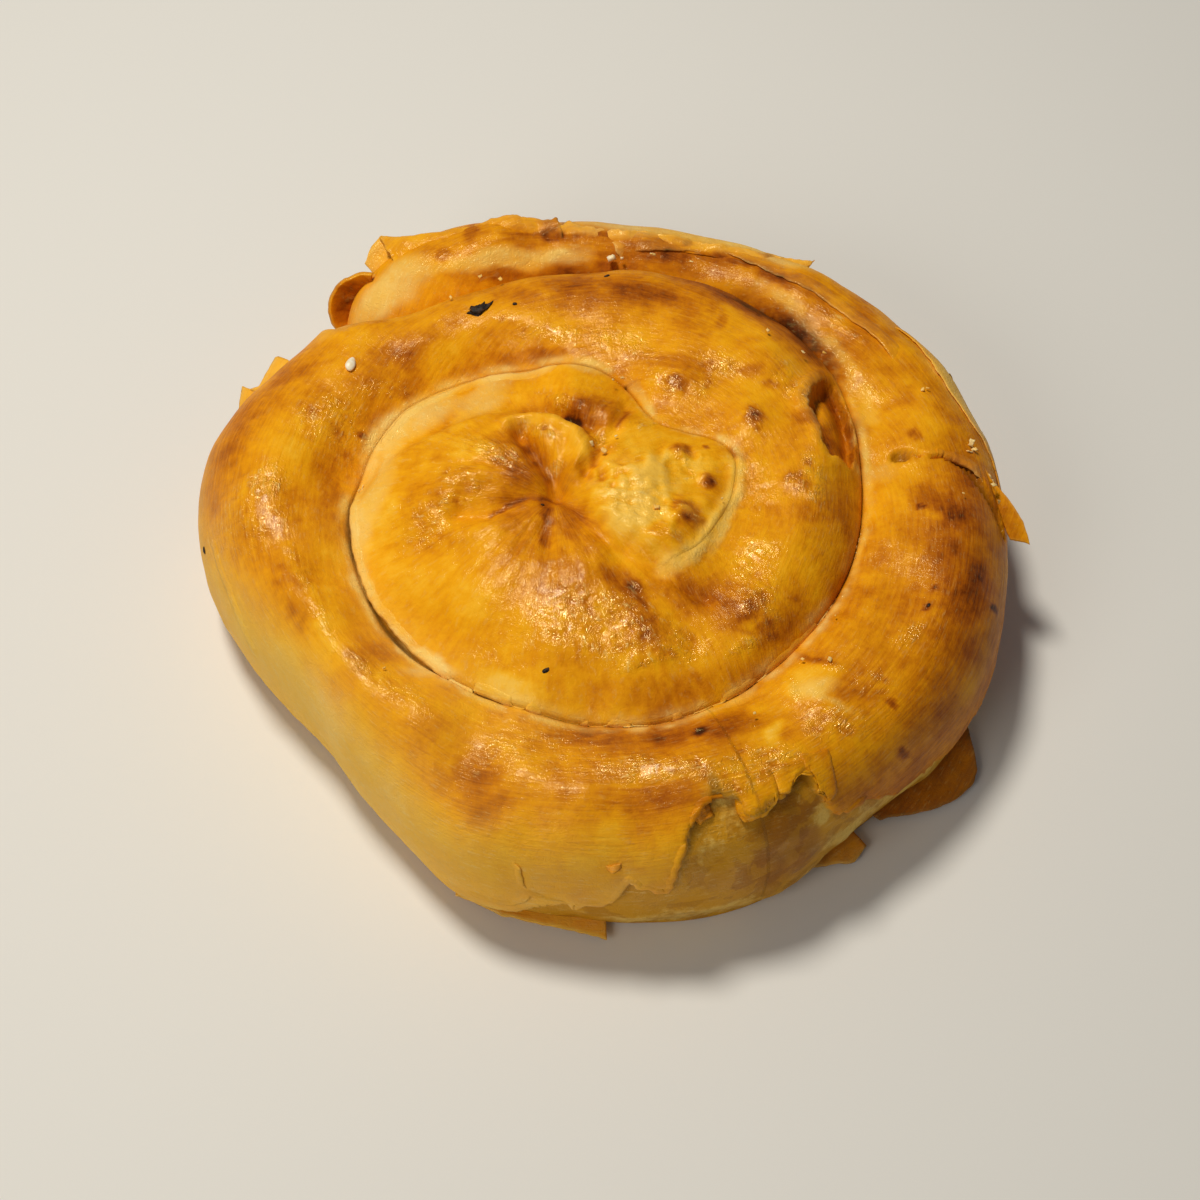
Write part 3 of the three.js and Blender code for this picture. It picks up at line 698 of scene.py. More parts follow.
def sculpt(points):
    upward = ease(SIDE_WIDEST_HEIGHT, SIDE_WIDEST_HEIGHT + 12, points[:, 2])
    above_foot = ease(2, 12, points[:, 2])
    shaped = points.copy()
    shaped[:, 2] += upward * relief(points) - above_foot * crease_drop(points)
    offset, phi = seam_offset(points[:, 0], points[:, 1])
    share = along(SEAM_GAP, phi)
    shaped[:, 2] -= above_foot * SLOT_DEPTH * share * bell(offset, SLOT_WIDTH * (1 + SLOT_WIDENING * share ** 3))
    lumps = 0.28 * rough(points, 9, 11) + 0.1 * rough(points, 3, 21)
    glossy = np.clip(marked(points, GLINT_MARKS, 0.8), 0, 1.2)
    puckers = 0.34 * (1 - np.abs(rough(points, 2.4, 71, 3))) + 0.2 * rough(points, 1.2, 74, 2)
    curds = 0.75 * (1 - 2 * np.abs(rough(points, 3.6, 77, 3))) + 0.3 * rough(points, 1.3, 80, 2)
    shaped[:, 2] += upward * (lumps + glossy * puckers + 0.8 * np.clip(marked(points, LUMP, 0.8), 0, 1) * curds)
    on_wall = (1 - upward) * ease(0, 4, points[:, 2])
    r = np.hypot(points[:, 0], points[:, 1])
    outward = 1 + on_wall * (0.7 * rough(points, 16, 31)) / np.maximum(r, 1)
    shaped[:, :2] *= outward[:, None]
    return lay_back(shaped)


# ---- How the crust browned, with painted shade in places: soft-edged marks on it ----

# Each mark: x, y, half its length, half its width, the lean of its length, and how much it adds.
# Browning and shade runs from 0, pale yellow, over 0.45, amber, and 0.7, brown, to 1, nearly black.
BROWNING_AND_SHADE_MARKS = [
    # The knot's bright upper lobe, its lower half and the pale spot by the seam.
    (-31, 9, 8, 7, 0, -0.12), (-43, -5, 9, 5, 90, -0.14), (-29, -24, 15, 11, 20, -0.07),
    (-16, -43, 7, 2.6, -28, -0.3),
    # The dark fold by the pinch, partly browning and partly a painted shadow under the upper lobe's curl, and the brown
    # under the glossy wrinkles left of it.
    (-16, 6, 8, 5, -62, 0.24), (-22, 2, 9, 4, -8, 0.16), (-24, -3.4, 9, 2.2, -3, 0.14),
    (-13, -8, 9, 5, 0, 0.14), (-3, -12, 8, 4, -60, 0.16), (-14, -20, 10, 8, 0, 0.06),
    # The brown cap of the fold above the middle, and the red-brown lines beside it.
    (-0.6, 18.4, 7.4, 4.4, 0, 0.36), (1.5, 23, 3, 2, 0, 0.12), (-1, 11, 4, 2.4, -75, 0.1),
    (-12, 20, 5, 4, -20, 0.12),
    # The pale lump, and what toasted on it.
    (6, -7, 11, 6, -35, -0.14), (14, 2.5, 7, 5, 20, -0.12), (7, -13.6, 6, 3.4, -30, -0.12), (1, -3, 4, 2, -30, 0.1),
    (17, -8, 4.6, 3.6, -60, 0.5), (21.2, 1, 2, 1.8, 80, 0.42), (15.6, 8.5, 2.2, 1.6, 0, 0.42),
    (20.6, 9.7, 0.8, 0.6, 0, 0.4), (12.4, -13.6, 4.4, 3, 0, 0.3), (26.6, 8.6, 2.4, 1.2, -40, 0.24),
    # The valley that runs from the pinch to the front right, and the brown flanks of the knot.
    (6.6, -24, 2.8, 1.2, -60, 0.24), (6.5, -29, 11, 3.6, -62, 0.24), (20, -27, 13, 4.5, -25, 0.24),
    (35, -29, 8, 3, 55, 0.2), (24, -41, 14, 3, 22, 0.18), (28, -31, 4.2, 2.2, 20, 0.12),
    (28, -30.6, 2.4, 1.2, 20, -0.3), (2, -45, 16, 2.6, 0, 0.1), (0, -33, 12, 7, 0, 0.07),
    (43, -18, 14, 2.4, 63, -0.08), (33, -37, 12, 2, 46, -0.08),
    # The second turn: its dark shoulder at the back right, partly browning and partly painted shade, smudges and spots.
    (41, 46, 17, 8, -50, 0.24), (46, 42, 13, 4, -62, 0.12), (28, 57, 15, 6, -24, 0.3),
    (9, 51, 9, 2.6, -8, 0.16), (-6, 53, 26, 6, -3, 0.12), (-13, 38, 10, 1.5, -4, 0.16),
    (-43, 35, 8, 6, 30, 0.13), (-32, 39, 6, 3, 50, -0.2), (4, 40, 6, 3.6, 0, -0.12),
    (16, 33.5, 7, 2.4, -8, 0.16), (16.4, 28, 2.4, 1.6, -30, 0.28), (31, 30, 2.6, 1.5, 0, 0.26),
    (34.4, 27, 1.8, 1, -30, 0.24), (31, 17.4, 3, 2, 80, 0.34), (41, 18, 4, 3.2, 0, 0.24),
    (25.6, 44.5, 3, 1.2, 80, 0.2), (32, 38, 3, 1.4, 0, 0.16), (37.5, 0.5, 3.2, 3, 0, 0.2),
    (41, -5, 5, 3, 0, 0.1), (49, -2, 9, 3, 95, 0.14), (48.8, 20, 12, 5.4, 97, 0.3),
    (46, 12, 4, 2, 97, -0.16),
    # The outer turn, left and front.
    (-55, 5, 15, 3, 88, 0.16), (-53, 38, 9, 6, 20, -0.08), (-48.4, 19, 1.3, 1.1, 0, 0.34),
    (-43, -36, 5, 4, 30, 0.16), (-59, -23, 10, 2.8, -64, 0.14), (-52, -22, 14, 4, -60, 0.04),
    (-32, -51, 6, 4, 60, 0.14), (-22, -63, 10, 6, -20, 0.17), (-20, -68, 5, 2.4, 20, 0.12),
    (4, -53, 14, 3, 4, 0.18), (24, -51.5, 10, 3.4, 12, 0.24), (18, -52.4, 1.5, 1.1, 80, 0.24),
    (32.4, -53, 3.4, 1.2, 75, -0.3), (39.4, -41, 5.2, 4.4, 30, -0.3), (41, -36, 4, 1.1, -22, 0.22),
    (10, -66, 12, 2.4, 0, 0.12),
    # The outer turn, right.
    (66, -6, 14, 5, 90, 0.13), (73, 1, 12, 4, 90, 0.12), (64.4, 18, 1.8, 1.6, 0, 0.26),
    (70, -25, 14, 6, 70, 0.16), (62, -45, 9, 6, 40, 0.1), (66.8, -3, 2, 1.7, 0, -0.2),
    (62.4, -24, 1.1, 0.8, 70, 0.4), (64.6, -20, 0.8, 0.6, 0, 0.34), (77.6, -20, 1.4, 0.5, 40, 0.4),
    (63.6, -1, 1, 0.8, 0, 0.3), (54, -46, 1.1, 0.8, 0, 0.36), (72.5, -36, 4.4, 3.2, 60, -0.16),
    (57, -52, 1.4, 0.7, 30, 0.4), (59, 38, 16, 4, -60, 0.04),
    # More marks. The darker ones down the right side, at (49, -42), (68, -22) and (74, -8), are partly painted shade.
    (24, -25, 9, 5, -20, 0.14), (49, -42, 6, 5, 40, 0.14), (68, -22, 18, 9, 75, 0.06), (-75, 20, 12, 6, 90, 0.12),
    (-3, 0, 5, 4, -30, 0.14), (-16, -22, 14, 9, 0, 0.06), (55, -10, 8, 5, 90, -0.05),
    (74, -8, 26, 9, 92, 0.12), (-78, 12, 22, 6, 85, 0.1), (52, 30, 16, 4, -70, -0.1), (2, -73, 14, 5, 0, -0.1),
    # The back, with painted shadow bands below the steps of its sheets at (-16, 67) and (26, 68).
    (-16, 67, 22, 1.6, 5, 0.2), (-29, 78, 8, 1.6, 85, 0.2), (26, 68, 20, 3, -18, 0.2),
    (-8, 75.4, 12, 1, 0, 0.2), (-35, 70.5, 2, 1.4, 0, 0.3), (-11, 81, 6, 1.6, 80, 0.4),
    (-7.5, 80, 5, 0.8, 85, 0.34),
]

# Where the pastry stayed pale, because a fold or the next turn covered it, and on the side.
CREAM_MARKS = [
    (-45, 9, 14, 4.4, 82, 0.85), (-37, 24, 10, 5, 42, 0.8), (-24, 27, 9, 4.6, 62, 0.6),
    (-28, 31, 3.4, 2.6, 0, -0.5), (-46, 8, 8, 0.8, 75, -0.4), (-48, -6, 9, 2.4, 100, 0.6),
    (-3, 33, 4, 2.6, -20, 0.55), (9, 25, 5, 1.2, -62, 0.5), (24.6, -8, 9, 1, 65, 0.6),
    (20, -14, 7, 1, 52, 0.6), (5, -6, 5, 2.4, -40, 0.15), (5, -11, 5, 2.6, -50, 0.3),
    (39.6, -43, 4, 2.4, 10, 0.5), (43, -46, 5, 1, -30, 0.5),
    (-33.5, -37.5, 3.2, 2.6, 0, 0.5), (-46, -17.6, 3.6, 1.3, -58, 0.7), (-24, -42.4, 6, 0.9, -30, 0.6),
    (-32, -35, 6, 0.8, -38, 0.7), (-46, 65.5, 9, 4.6, 18, 0.95), (-51, 62, 6, 5, 60, 0.5), (-22, 69.5, 16, 2, 10, 0.85),
    (-55, 49, 6, 4, 30, 0.5), (56, 10.5, 3.6, 3, 0, 0.4), (-8, 71, 6, 1.6, 0, 0.6),
    (14, 79, 24, 4, -8, 0.8), (38, 72, 12, 3, -25, 0.7), (76, 33, 14, 3.4, -62, 0.8),
]

# Where the oiled crust puckered into fine wrinkles that glint.
GLINT_MARKS = [
    (-20, 6.5, 7, 3.4, -28, 1.1), (-28, 0.5, 6, 3, -20, 0.8), (-29, -4.2, 4.4, 1, -5, 0.9),
    (-35, -8, 9, 5, -25, 0.5), (-33, 11, 8, 8, 0, 0.2), (-12, 12.8, 5.4, 1.5, -33, 1.2),
    (-7.4, 22.4, 7, 1.4, -40, 1.1), (-8.4, 4, 2, 1.4, 0, 1), (0, 11, 3, 1.3, -75, 1.1),
    (8.8, 16, 2.6, 1.4, 50, 0.9), (15.8, 7.4, 2, 1.5, 0, 1), (21, 1, 1.8, 1.7, 0, 0.7),
    (16, -6.6, 1.6, 1.3, -30, 1.2), (17.4, -9.4, 2.4, 1, 10, 1), (13, -14, 3, 1.6, 0, 0.5),
    (16, 3, 4.4, 3, 0, 0.6), (0, -32, 14, 7.4, -12, 0.95), (9, -39, 6, 1.7, 20, 1),
    (16, -36, 4.4, 4, 0, 0.6), (30, -19, 8.4, 4.4, 75, 0.85), (30, -26, 4.6, 2, 40, 1.2),
    (32, -29, 2, 2, 0, 0.9), (28.4, -34.4, 6, 1.2, 25, 1), (7.6, -24.6, 1.6, 0.9, -45, 0.9),
    (31, 17.5, 4, 1.9, 100, 1.1), (38, 1, 2.8, 2, -60, 0.9), (42, 2, 6, 2.6, 100, 1),
    (39.4, 28, 7, 3.8, -60, 0.7), (24.6, 32.4, 5, 2.4, -25, 0.9), (14, 28, 5, 2.4, -40, 0.9),
    (21.4, 27.4, 4, 2, 60, 0.8), (5, 38.4, 7.4, 3.4, -25, 0.7), (-12, 42, 9, 2.1, 0, 0.7),
    (-19, 45.6, 3, 1, 0, 0.8), (-45, 30, 6, 2, 10, 0.6), (-55, 20, 9, 8, 30, 0.8),
    (-66, 3.4, 4.4, 4, 0, 1.2), (-70, -4, 9, 9, 0, 0.5), (-57.6, -17, 6, 1.6, -62, 0.7),
    (-53, -28, 9, 1.5, -66, 0.8), (-45.6, -38, 5, 2.4, -55, 0.8), (-37, -44, 7, 3, -35, 0.5),
    (-12, -56, 13, 6, 8, 0.4), (10, -60.4, 13, 3, -2, 1.1), (29, -59.4, 9, 3, 16, 1.2),
    (24, -63, 6, 3, 0, 1.1), (41, -51, 5, 3.8, 40, 1), (50.5, -42, 4, 3.6, 0, 0.8),
    (46, -50, 4.6, 3, 20, 0.7), (58, -30.6, 4, 2.4, 40, 1), (36, -42.6, 4, 0.9, 100, 0.7),
    (43, -37.6, 3, 1.2, -30, 0.6), (66, -16, 20, 5, 90, 0.15), (45, -9, 6, 5, 0, 0.2),
    (30, 0, 4, 8, 0, 0.4), (17.6, -51.8, 0.7, 0.6, 0, 1), (28, -51.8, 1.4, 0.5, 15, 1.2),
    (50, 45, 6, 2, -45, 0.5), (52, 50, 8, 1.6, -48, 0.6), (4, 5, 5, 5, 0, 0.3), (8, -6, 10, 6, -34, 0.5),
    (-14, 20, 30, 3, 0, 0.1), (54, 36, 9, 1.4, -60, 0.5),
]


# Narrow marks that follow a line: the line, half the width, what it adds to browning and shade and to pale. The first
# is partly a painted shadow under the knot's upper lobe, and the one along the back band's edge is a painted shadow
# under that sheet's edge.
STREAKS = [
    ([(-16.6, 13), (-12.8, 7.4), (-10, 3)], 2.6, 0.16, 0), ([(-14.5, 9.5), (-11, 4.5), (-9.4, 0)], 1.1, 0.08, 0),
    ([(-18.3, 15), (-13.7, 16.6), (-8.2, 15.1), (-4.4, 11.6), (-3, 6)], 1.8, -0.14, 0.1),
    ([(-21.4, -7.1), (-17.8, -5.3), (-14.1, -3.8), (-9.6, -2.9)], 0.7, 0.3, 0),
    ([(-12, 19.6), (-7, 18.5), (-3.5, 15)], 0.6, 0.34, 0), ([(5.5, 20), (3.6, 14.5)], 0.7, 0.26, 0),
    ([(-3, 13.5), (-0.5, 8), (-1.5, 4)], 0.8, 0.22, 0), ([(-10.6, -4), (-10, -9), (-10.6, -15)], 1.2, 0.26, 0),
    ([(-8, -3), (-1.3, -11.1), (5.2, -16.4)], 1, 0.12, 0),
    ([(27.3, 6.6), (25.8, -1), (22.1, -9.3), (16, -18.6), (11.6, -20.4)], 1.4, -0.2, 0.4),
    ([(-46, 19), (-37.7, 28), (-30, 32.6), (-22, 34), (-12.5, 34)], 2, -0.1, 0.4),
    ([(34.3, 63.2), (39.2, 59.6), (44.4, 52.6), (49.3, 45.2), (53, 38.2), (55.6, 31.4), (56, 24)], 1.5, -0.1, 0.4),
    ([(54, 22), (54.6, 12), (54, 2), (50, -12)], 0.9, -0.12, 0.3),
    ([(15, 71.2), (20.6, 71.6), (28.3, 70.6), (34.8, 66.8), (40.8, 62), (47.8, 56.8)], 1.2, 0.2, 0),
    ([(-50, -8), (-48.6, -16), (-44, -25), (-36, -34)], 0.8, 0, 0.4),
]


def streaked(points, column):
    x = points[:, 0] + 0.6 * grain(points, 4, 45) + 0.35 * grain(points, 1.6, 46)
    y = points[:, 1] + 0.6 * grain(points, 4, 47) + 0.35 * grain(points, 1.6, 48)
    uneven = 0.85 + 0.5 * grain(points, 2.6, 49)
    return sum(
        streak[column] * (1 - ease(0.3, 1.5, distance_to_line(x, y, streak[0]) / streak[1])) * uneven
        for streak in STREAKS
    )


def marked(points, marks, warp=1.0):
    """The sum of soft-edged marks at points, their borders made uneven."""
    x = points[:, 0] + warp * (1.1 * grain(points, 7, 41) + 0.5 * grain(points, 2.2, 42))
    y = points[:, 1] + warp * (1.1 * grain(points, 7, 43) + 0.5 * grain(points, 2.2, 44))
    total = np.zeros(len(points))
    for at_x, at_y, half_length, half_width, lean, amount in marks:
        turn = math.radians(lean)
        dx, dy = x - at_x, y - at_y
        lengthways = (dx * math.cos(turn) + dy * math.sin(turn)) / half_length
        crossways = (dy * math.cos(turn) - dx * math.sin(turn)) / half_width
        total += amount * (1 - ease(0.45, 1.35, np.hypot(lengthways, crossways)))
    return total


# The layers that the tear lays bare: direction, height, half the extent in each, baked, pale.
WALL_MARKS = [
    (-70, 15, 70, 50, 0.3, 0.15), (-63, 22, 6, 11, 0.4, -0.2), (-69, 18, 5, 7, 0.2, -0.1), (-55, 27, 6, 3, -0.2, 0.7),
    (-60, 31, 3, 4, 0.2, 0.2), (-78, 6, 14, 5, -0.05, 0.45), (-52, 16, 8, 6, 0.05, 0.3), (-46, 12, 12, 5, 0.1, 0.3),
    (-72, 30, 5, 6, 0.1, 0.2), (-60, 5, 10, 4, 0.1, 0.2), (-28, 10, 16, 8, -0.1, 0.3),
]


def wall_marked(points, column):
    theta = np.degrees(np.arctan2(points[:, 1], points[:, 0])) + 3 * grain(points, 6, 91)
    z = points[:, 2] + 1.6 * grain(points, 5, 92)
    total = 0.1 * rough(points, 5, 93)
    for mark in WALL_MARKS:
        reach = np.hypot((theta - mark[0]) / mark[2], (z - mark[1]) / mark[3])
        total += mark[column + 1] * (1 - ease(0.6, 1.2, reach))
    return total


def crust_fields(points, with_tear=True):
    """How browned, how pale and how wrinkled the crust is at each of its points, with painted light and shade in its
    browning and painted shade in its gaps.
    """
    x, y, z = points.T
    theta = np.degrees(np.arctan2(y, x)) % 360
    r = np.hypot(x, y)
    phi = direction_in_knot(x, y)
    offset, seam_phi = seam_offset(x, y)
    in_knot = 1 - ease(-0.5, 0.5, r - edge_radius(phi))
    inside_next = 1 - ease(-0.5, 0.5, r - along(SEAM, np.minimum(phi + 360, SEAM_END)))
    in_knot = np.maximum(in_knot, (1 - opened(phi)) * inside_next)
    top = ease(SIDE_WIDEST_HEIGHT - 3, SIDE_WIDEST_HEIGHT + 17, z)

    # Lighter on the crests of the crust's swellings and darker in their hollows, from the same noise as the sculpted
    # lumps: painted light and shade.
    baked = mix(0.46, 0.37, in_knot) - 0.1 * rough(points, 9, 11) - 0.08 * rough(points, 3, 21)
    baked += top * (0.08 * rough(points, 5, 55, 4) + 0.1 * rough(points, 22, 58, 2))
    # The lower left side is made paler and the other sides darker: painted light from the left and painted shade on the
    # rest, over the side's own paler pastry.
    left = hump(218, 82, theta)
    baked = baked - 0.3 * left * (1 - ease(24, 39, z)) + top * (marked(points, BROWNING_AND_SHADE_MARKS) + streaked(points, 2))
    baked += 0.1 * (1 - top) * (1 - left)
    beside_seam = opened(seam_phi) * bell(offset - 2.4, 2.2)
    baked += 0.05 * beside_seam

    cream = (marked(points, CREAM_MARKS) + streaked(points, 3)) * top
    # Paler on the lower left side: partly painted light from the left.
    cream += 0.95 * left * (1 - ease(22, 38, z)) * ease(0, 3, z)
    behind = hump(100, 70, theta)
    cream += 0.45 * behind * (1 - ease(SIDE_WIDEST_HEIGHT, SIDE_WIDEST_HEIGHT + 14, z))
    theta_signed = np.where(theta > 180, theta - 360, theta)
    below_tear = torn_edge(theta_signed) - z
    torn = ease(-0.5, 0.5, below_tear)
    torn *= ease(TEAR[0][0], TEAR[0][0] + 6, theta_signed) * (1 - ease(TEAR[-1][0] - 6, TEAR[-1][0], theta_signed))
    torn *= ease(64, 67, r) * with_tear
    cream = mix(cream, np.clip(wall_marked(points, 4), 0, 1), torn)
    baked = mix(baked, np.clip(wall_marked(points, 3), 0.1, 1), torn)
    thin = ease(-8, -1, below_tear) * hump(264, 24, theta) * (1 - torn) * (r > 60)
    baked -= 0.12 * thin
    cream += 0.2 * thin * (0.6 + rough(points, 6, 88, 3))
    lump = np.clip(marked(points, LUMP, 0.8), 0, 1) * top
    curd = rough(points, 3.2, 95, 4)
    # Lighter on the lump's curds and browner between them, from the same noise as the sculpted curds: partly painted
    # light and shade.
    baked += lump * (-0.1 - 0.32 * (1 - 2 * np.abs(rough(points, 3.6, 77, 3))) - 0.12 * curd)
    cream += lump * 0.5 * np.clip(curd, 0, 1)
    lip = opened(seam_phi) * (1 - ease(385, 410, seam_phi)) * (0.4 + 1.1 * rough(points, 3, 51, 3))
    lip *= np.maximum(bell(offset - 1.1, 0.9), 0.7 * bell(offset + 0.8, 0.7))
    cream += 0.8 * np.clip(lip, 0, 1)

    glint = marked(points, GLINT_MARKS, 0.8) * top
    # Lighter on the puckers' crests and darker between them where the crust glints, from the same noise as the sculpted
    # puckers: painted highlight and shade.
    baked += 0.3 * np.clip(glint, 0, 1) * (np.abs(rough(points, 2.4, 71, 3)) - 0.3)
    glint = glint + 0.35 * torn * ease(-0.2, 0.6, rough(points, 8, 97, 2))
    # A dark brown painted into the open seam, along the crack and just under the torn edge: painted shade.
    share = along(SEAM_GAP, seam_phi)
    gap = share * bell(offset, 0.2 * (1 + SLOT_WIDENING * share ** 3))
    in_blister = ease(0.2, 2.2, -blister_distance(points))
    baked = mix(baked, 0.66 + 0.2 * grain(points, 3, 81), in_blister * top)
    cream = cream * (1 - in_blister * top)
    from_crack = distance_to_line(x, y, CRACK) / along(CRACK_HALF_WIDTH, x)
    gap = np.maximum(gap, 0.8 * top * (1 - ease(0.6, 1.3, from_crack)))
    gap = np.maximum(gap, 0.55 * torn * bell(below_tear - 0.6, 0.7))
    foot = 1 - ease(0, 2.5, z)
    baked = mix(baked, 0.62, foot * (1 - torn))
    fields = {"baked": baked, "cream": cream, "glint": glint, "gap": gap, "layer": torn, "in_knot": in_knot}
    fields = {name: np.clip(values, 0, 1.2) for name, values in fields.items()}
    return {**fields, **strand_fields(points)}


def strand_fields(points):
    """Places along and across the pastry's strands, in millimetres: on the roll, and in the knot."""
    x, y, z = points.T
    from_pinch = np.hypot(x - PINCH[0], y - PINCH[1])
    turn = np.arctan2(y - PINCH[1], x - PINCH[0])
    r = np.hypot(x, y)
    return {
        "roll_along": np.radians(direction_in_knot(x, y)) * 50, "roll_across": r - 0.8 * z,
        "knot_along": from_pinch, "knot_x": np.cos(turn) * 16, "knot_y": np.sin(turn) * 16,
    }


# ---- Materials ----

def shader_tree(name):
    material = bpy.data.materials.new(name)
    material.use_nodes = True
    return material, Tree(material.node_tree)


def field(tree, name):
    return tree.node("ShaderNodeAttribute", {"attribute_name": name}, (), "Fac")


def noise(tree, scale, detail=3.0, roughness=0.55, vector=None, distortion=0.0):
    """Noise with lumps about 1 / scale metres across, on the object's own coordinates."""
    if vector is None:
        vector = tree.node("ShaderNodeTexCoord", {}, (), "Object")
    values = {
        "Vector": vector, "Scale": scale, "Detail": detail, "Roughness": roughness, "Distortion": distortion,
    }
    return tree.node("ShaderNodeTexNoise", {}, values)


def mixed(tree, share, a, b):
    """Two colours together."""
    colours = [value if isinstance(value, Wire) else (*value, 1) for value in (a, b)]
    settings = {"data_type": "RGBA"}
    return tree.node("ShaderNodeMix", settings, {0: share, 6: colours[0], 7: colours[1]}, 2)


def surface(tree, **sockets):
    values = {name.replace("_", " "): value for name, value in sockets.items()}
    shader = tree.node("ShaderNodeBsdfPrincipled", {}, values)
    tree.node("ShaderNodeOutputMaterial", {}, {"Surface": shader})


BROWNING_AND_SHADE_COLOURS = [
    (0.0, (1.0, 0.58, 0.075)), (0.14, (0.98, 0.50, 0.022)), (0.3, (0.91, 0.40, 0.004)),
    (0.45, (0.79, 0.30, 0.002)), (0.6, (0.60, 0.185, 0.001)), (0.76, (0.38, 0.088, 0.001)),
    (0.9, (0.16, 0.028, 0.001)), (1.0, (0.05, 0.010, 0.002)),
]
CREAM = (0.93, 0.58, 0.105)
PALE_CREAM = (1.0, 0.73, 0.24)
LAYER_OLIVE = (0.64, 0.30, 0.012)
LAYER_PALE = (0.86, 0.56, 0.12)
LAYER_DARK = (0.36, 0.13, 0.005)
# The colour of the painted glints: thin light hairlines on the crust.
PAINTED_GLINT = (1.0, 0.74, 0.24)
# The colour of the painted shade in the seam, the crack and under the torn edge.
PAINTED_GAP_SHADE = (0.20, 0.065, 0.002)
OILY_TINT = (1.0, 0.83, 0.45)

# Heights of the finest relief, in metres.
WRINKLE_HEIGHT = 0.00034
GRAIN_HEIGHT = 0.00022


def strands(tree, length, width, detail):
    """Noise drawn out along the pastry's strands: round the roll, and out from the pinch in the knot."""
    on_roll = tree.node(
        "ShaderNodeCombineXYZ", {}, (field(tree, "roll_along") / length, field(tree, "roll_across") / width))
    on_knot = tree.node("ShaderNodeCombineXYZ", {}, (
        field(tree, "knot_x") / width, field(tree, "knot_y") / width, field(tree, "knot_along") / length))
    settings = {"data_type": "VECTOR"}
    place = tree.node("ShaderNodeMix", settings, {0: field(tree, "in_knot"), 4: on_roll, 5: on_knot}, 1)
    return noise(tree, 1.0, detail, 0.6, place, 0.5)


def crust_material():
    material, tree = shader_tree("baked crust")
    broad = noise(tree, 45.0, 4.0)
    mottle = noise(tree, 150.0, 4.0, 0.6, distortion=0.3)
    fine = noise(tree, 620.0, 4.0, 0.68)
    strand = strands(tree, 6.0, 0.8, 3.0)
    hair = strands(tree, 2.4, 0.45, 2.0)
    unevenness = (broad - 0.5) * 0.4 + (mottle - 0.5) * 0.28 + (fine - 0.5) * 0.32 + (strand - 0.5) * 0.26
    # Browner where the bump's hairline wrinkles lie low, most where it glints: painted shade in their creases. The
    # strand part is streaked colour.
    unevenness = unevenness + (strand - hair) * (field(tree, "glint") * 0.12 + 0.05)
    baked = tree.clamped(field(tree, "baked") + unevenness)
    colour = tree.node("ShaderNodeValToRGB", {"stops": BROWNING_AND_SHADE_COLOURS}, (baked,))
    cream = tree.clamped(field(tree, "cream") * (0.4 + mottle + (strand - 0.5) * 0.6 + (fine - 0.5)))
    pale = mixed(tree, tree.ease(0.35, 0.7, broad), CREAM, PALE_CREAM)
    colour = mixed(tree, cream * 0.8, colour, pale)

    sheets = noise(tree, 130.0, 3.0, 0.5, distortion=0.8)
    darker = tree.clamped((field(tree, "baked") - 0.3) * 1.6 + tree.ease(0.5, 0.55, sheets) * 0.45)
    layers = mixed(tree, darker, LAYER_OLIVE, LAYER_DARK)
    paler = tree.ease(0.3, 0.8, field(tree, "cream") + (mottle - 0.5) * 1.2 + (fine - 0.5) * 0.8)
    layers = mixed(tree, paler, layers, LAYER_PALE)
    colour = mixed(tree, field(tree, "layer") * 0.9, colour, layers)

    clouds = noise(tree, 260.0, 3.0, 0.6, distortion=0.8)
    oily = tree.clamped(field(tree, "glint") * (0.2 + broad * 1.5)) * (0.3 + tree.ease(0.4, 0.62, clouds) * 0.7)
    # Thin light hairlines painted into the colour along the strands, most on the oiled and the pale crust: painted
    # glints.
    glint_hairlines = tree.ease(0.54, 0.62, hair) * tree.ease(0.46, 0.58, fine)
    painted_glint_share = glint_hairlines * tree.clamped(0.12 + oily * 0.6 + cream * 0.4)
    colour = mixed(tree, painted_glint_share * 0.75, colour, PAINTED_GLINT)
    # Painted shade: the dark brown in the open seam, the crack and under the torn edge.
    colour = mixed(tree, field(tree, "gap") * 0.9, colour, PAINTED_GAP_SHADE)

    wrinkle = noise(tree, 560.0, 3.0, 0.6, distortion=1.2)
    creased = abs(wrinkle - 0.5) * -1.8 + hair * 0.45
    grains = mottle * 0.8 + fine * 0.5 + strand * 0.5
    height = (0.25 + oily + cream * 0.5) * creased * WRINKLE_HEIGHT + grains * GRAIN_HEIGHT
    bump = tree.node("ShaderNodeBump", {}, {"Strength": 1.0, "Distance": 1.0, "Height": height})
    dry = {"Base Color": colour, "Roughness": 0.6 + cream * 0.25, "Specular IOR Level": 0.16,
           "Specular Tint": (*OILY_TINT, 1), "Normal": bump}
    wet = {"Base Color": colour, "Roughness": 0.08 + fine * 0.14, "Specular IOR Level": 1.0,
           "Specular Tint": (*OILY_TINT, 1), "Coat Weight": 0.12, "Coat Roughness": 0.12, "Normal": bump}
    film = tree.clamped(0.1 + oily * 1.1 + tree.ease(0.55, 0.68, hair) * 0.2)
    shaders = [tree.node("ShaderNodeBsdfPrincipled", {}, sockets) for sockets in (dry, wet)]
    whole = tree.node("ShaderNodeMixShader", {}, {0: film, 1: shaders[0], 2: shaders[1]})
    tree.node("ShaderNodeOutputMaterial", {}, {"Surface": whole})
    return material


# ---- The crust ----

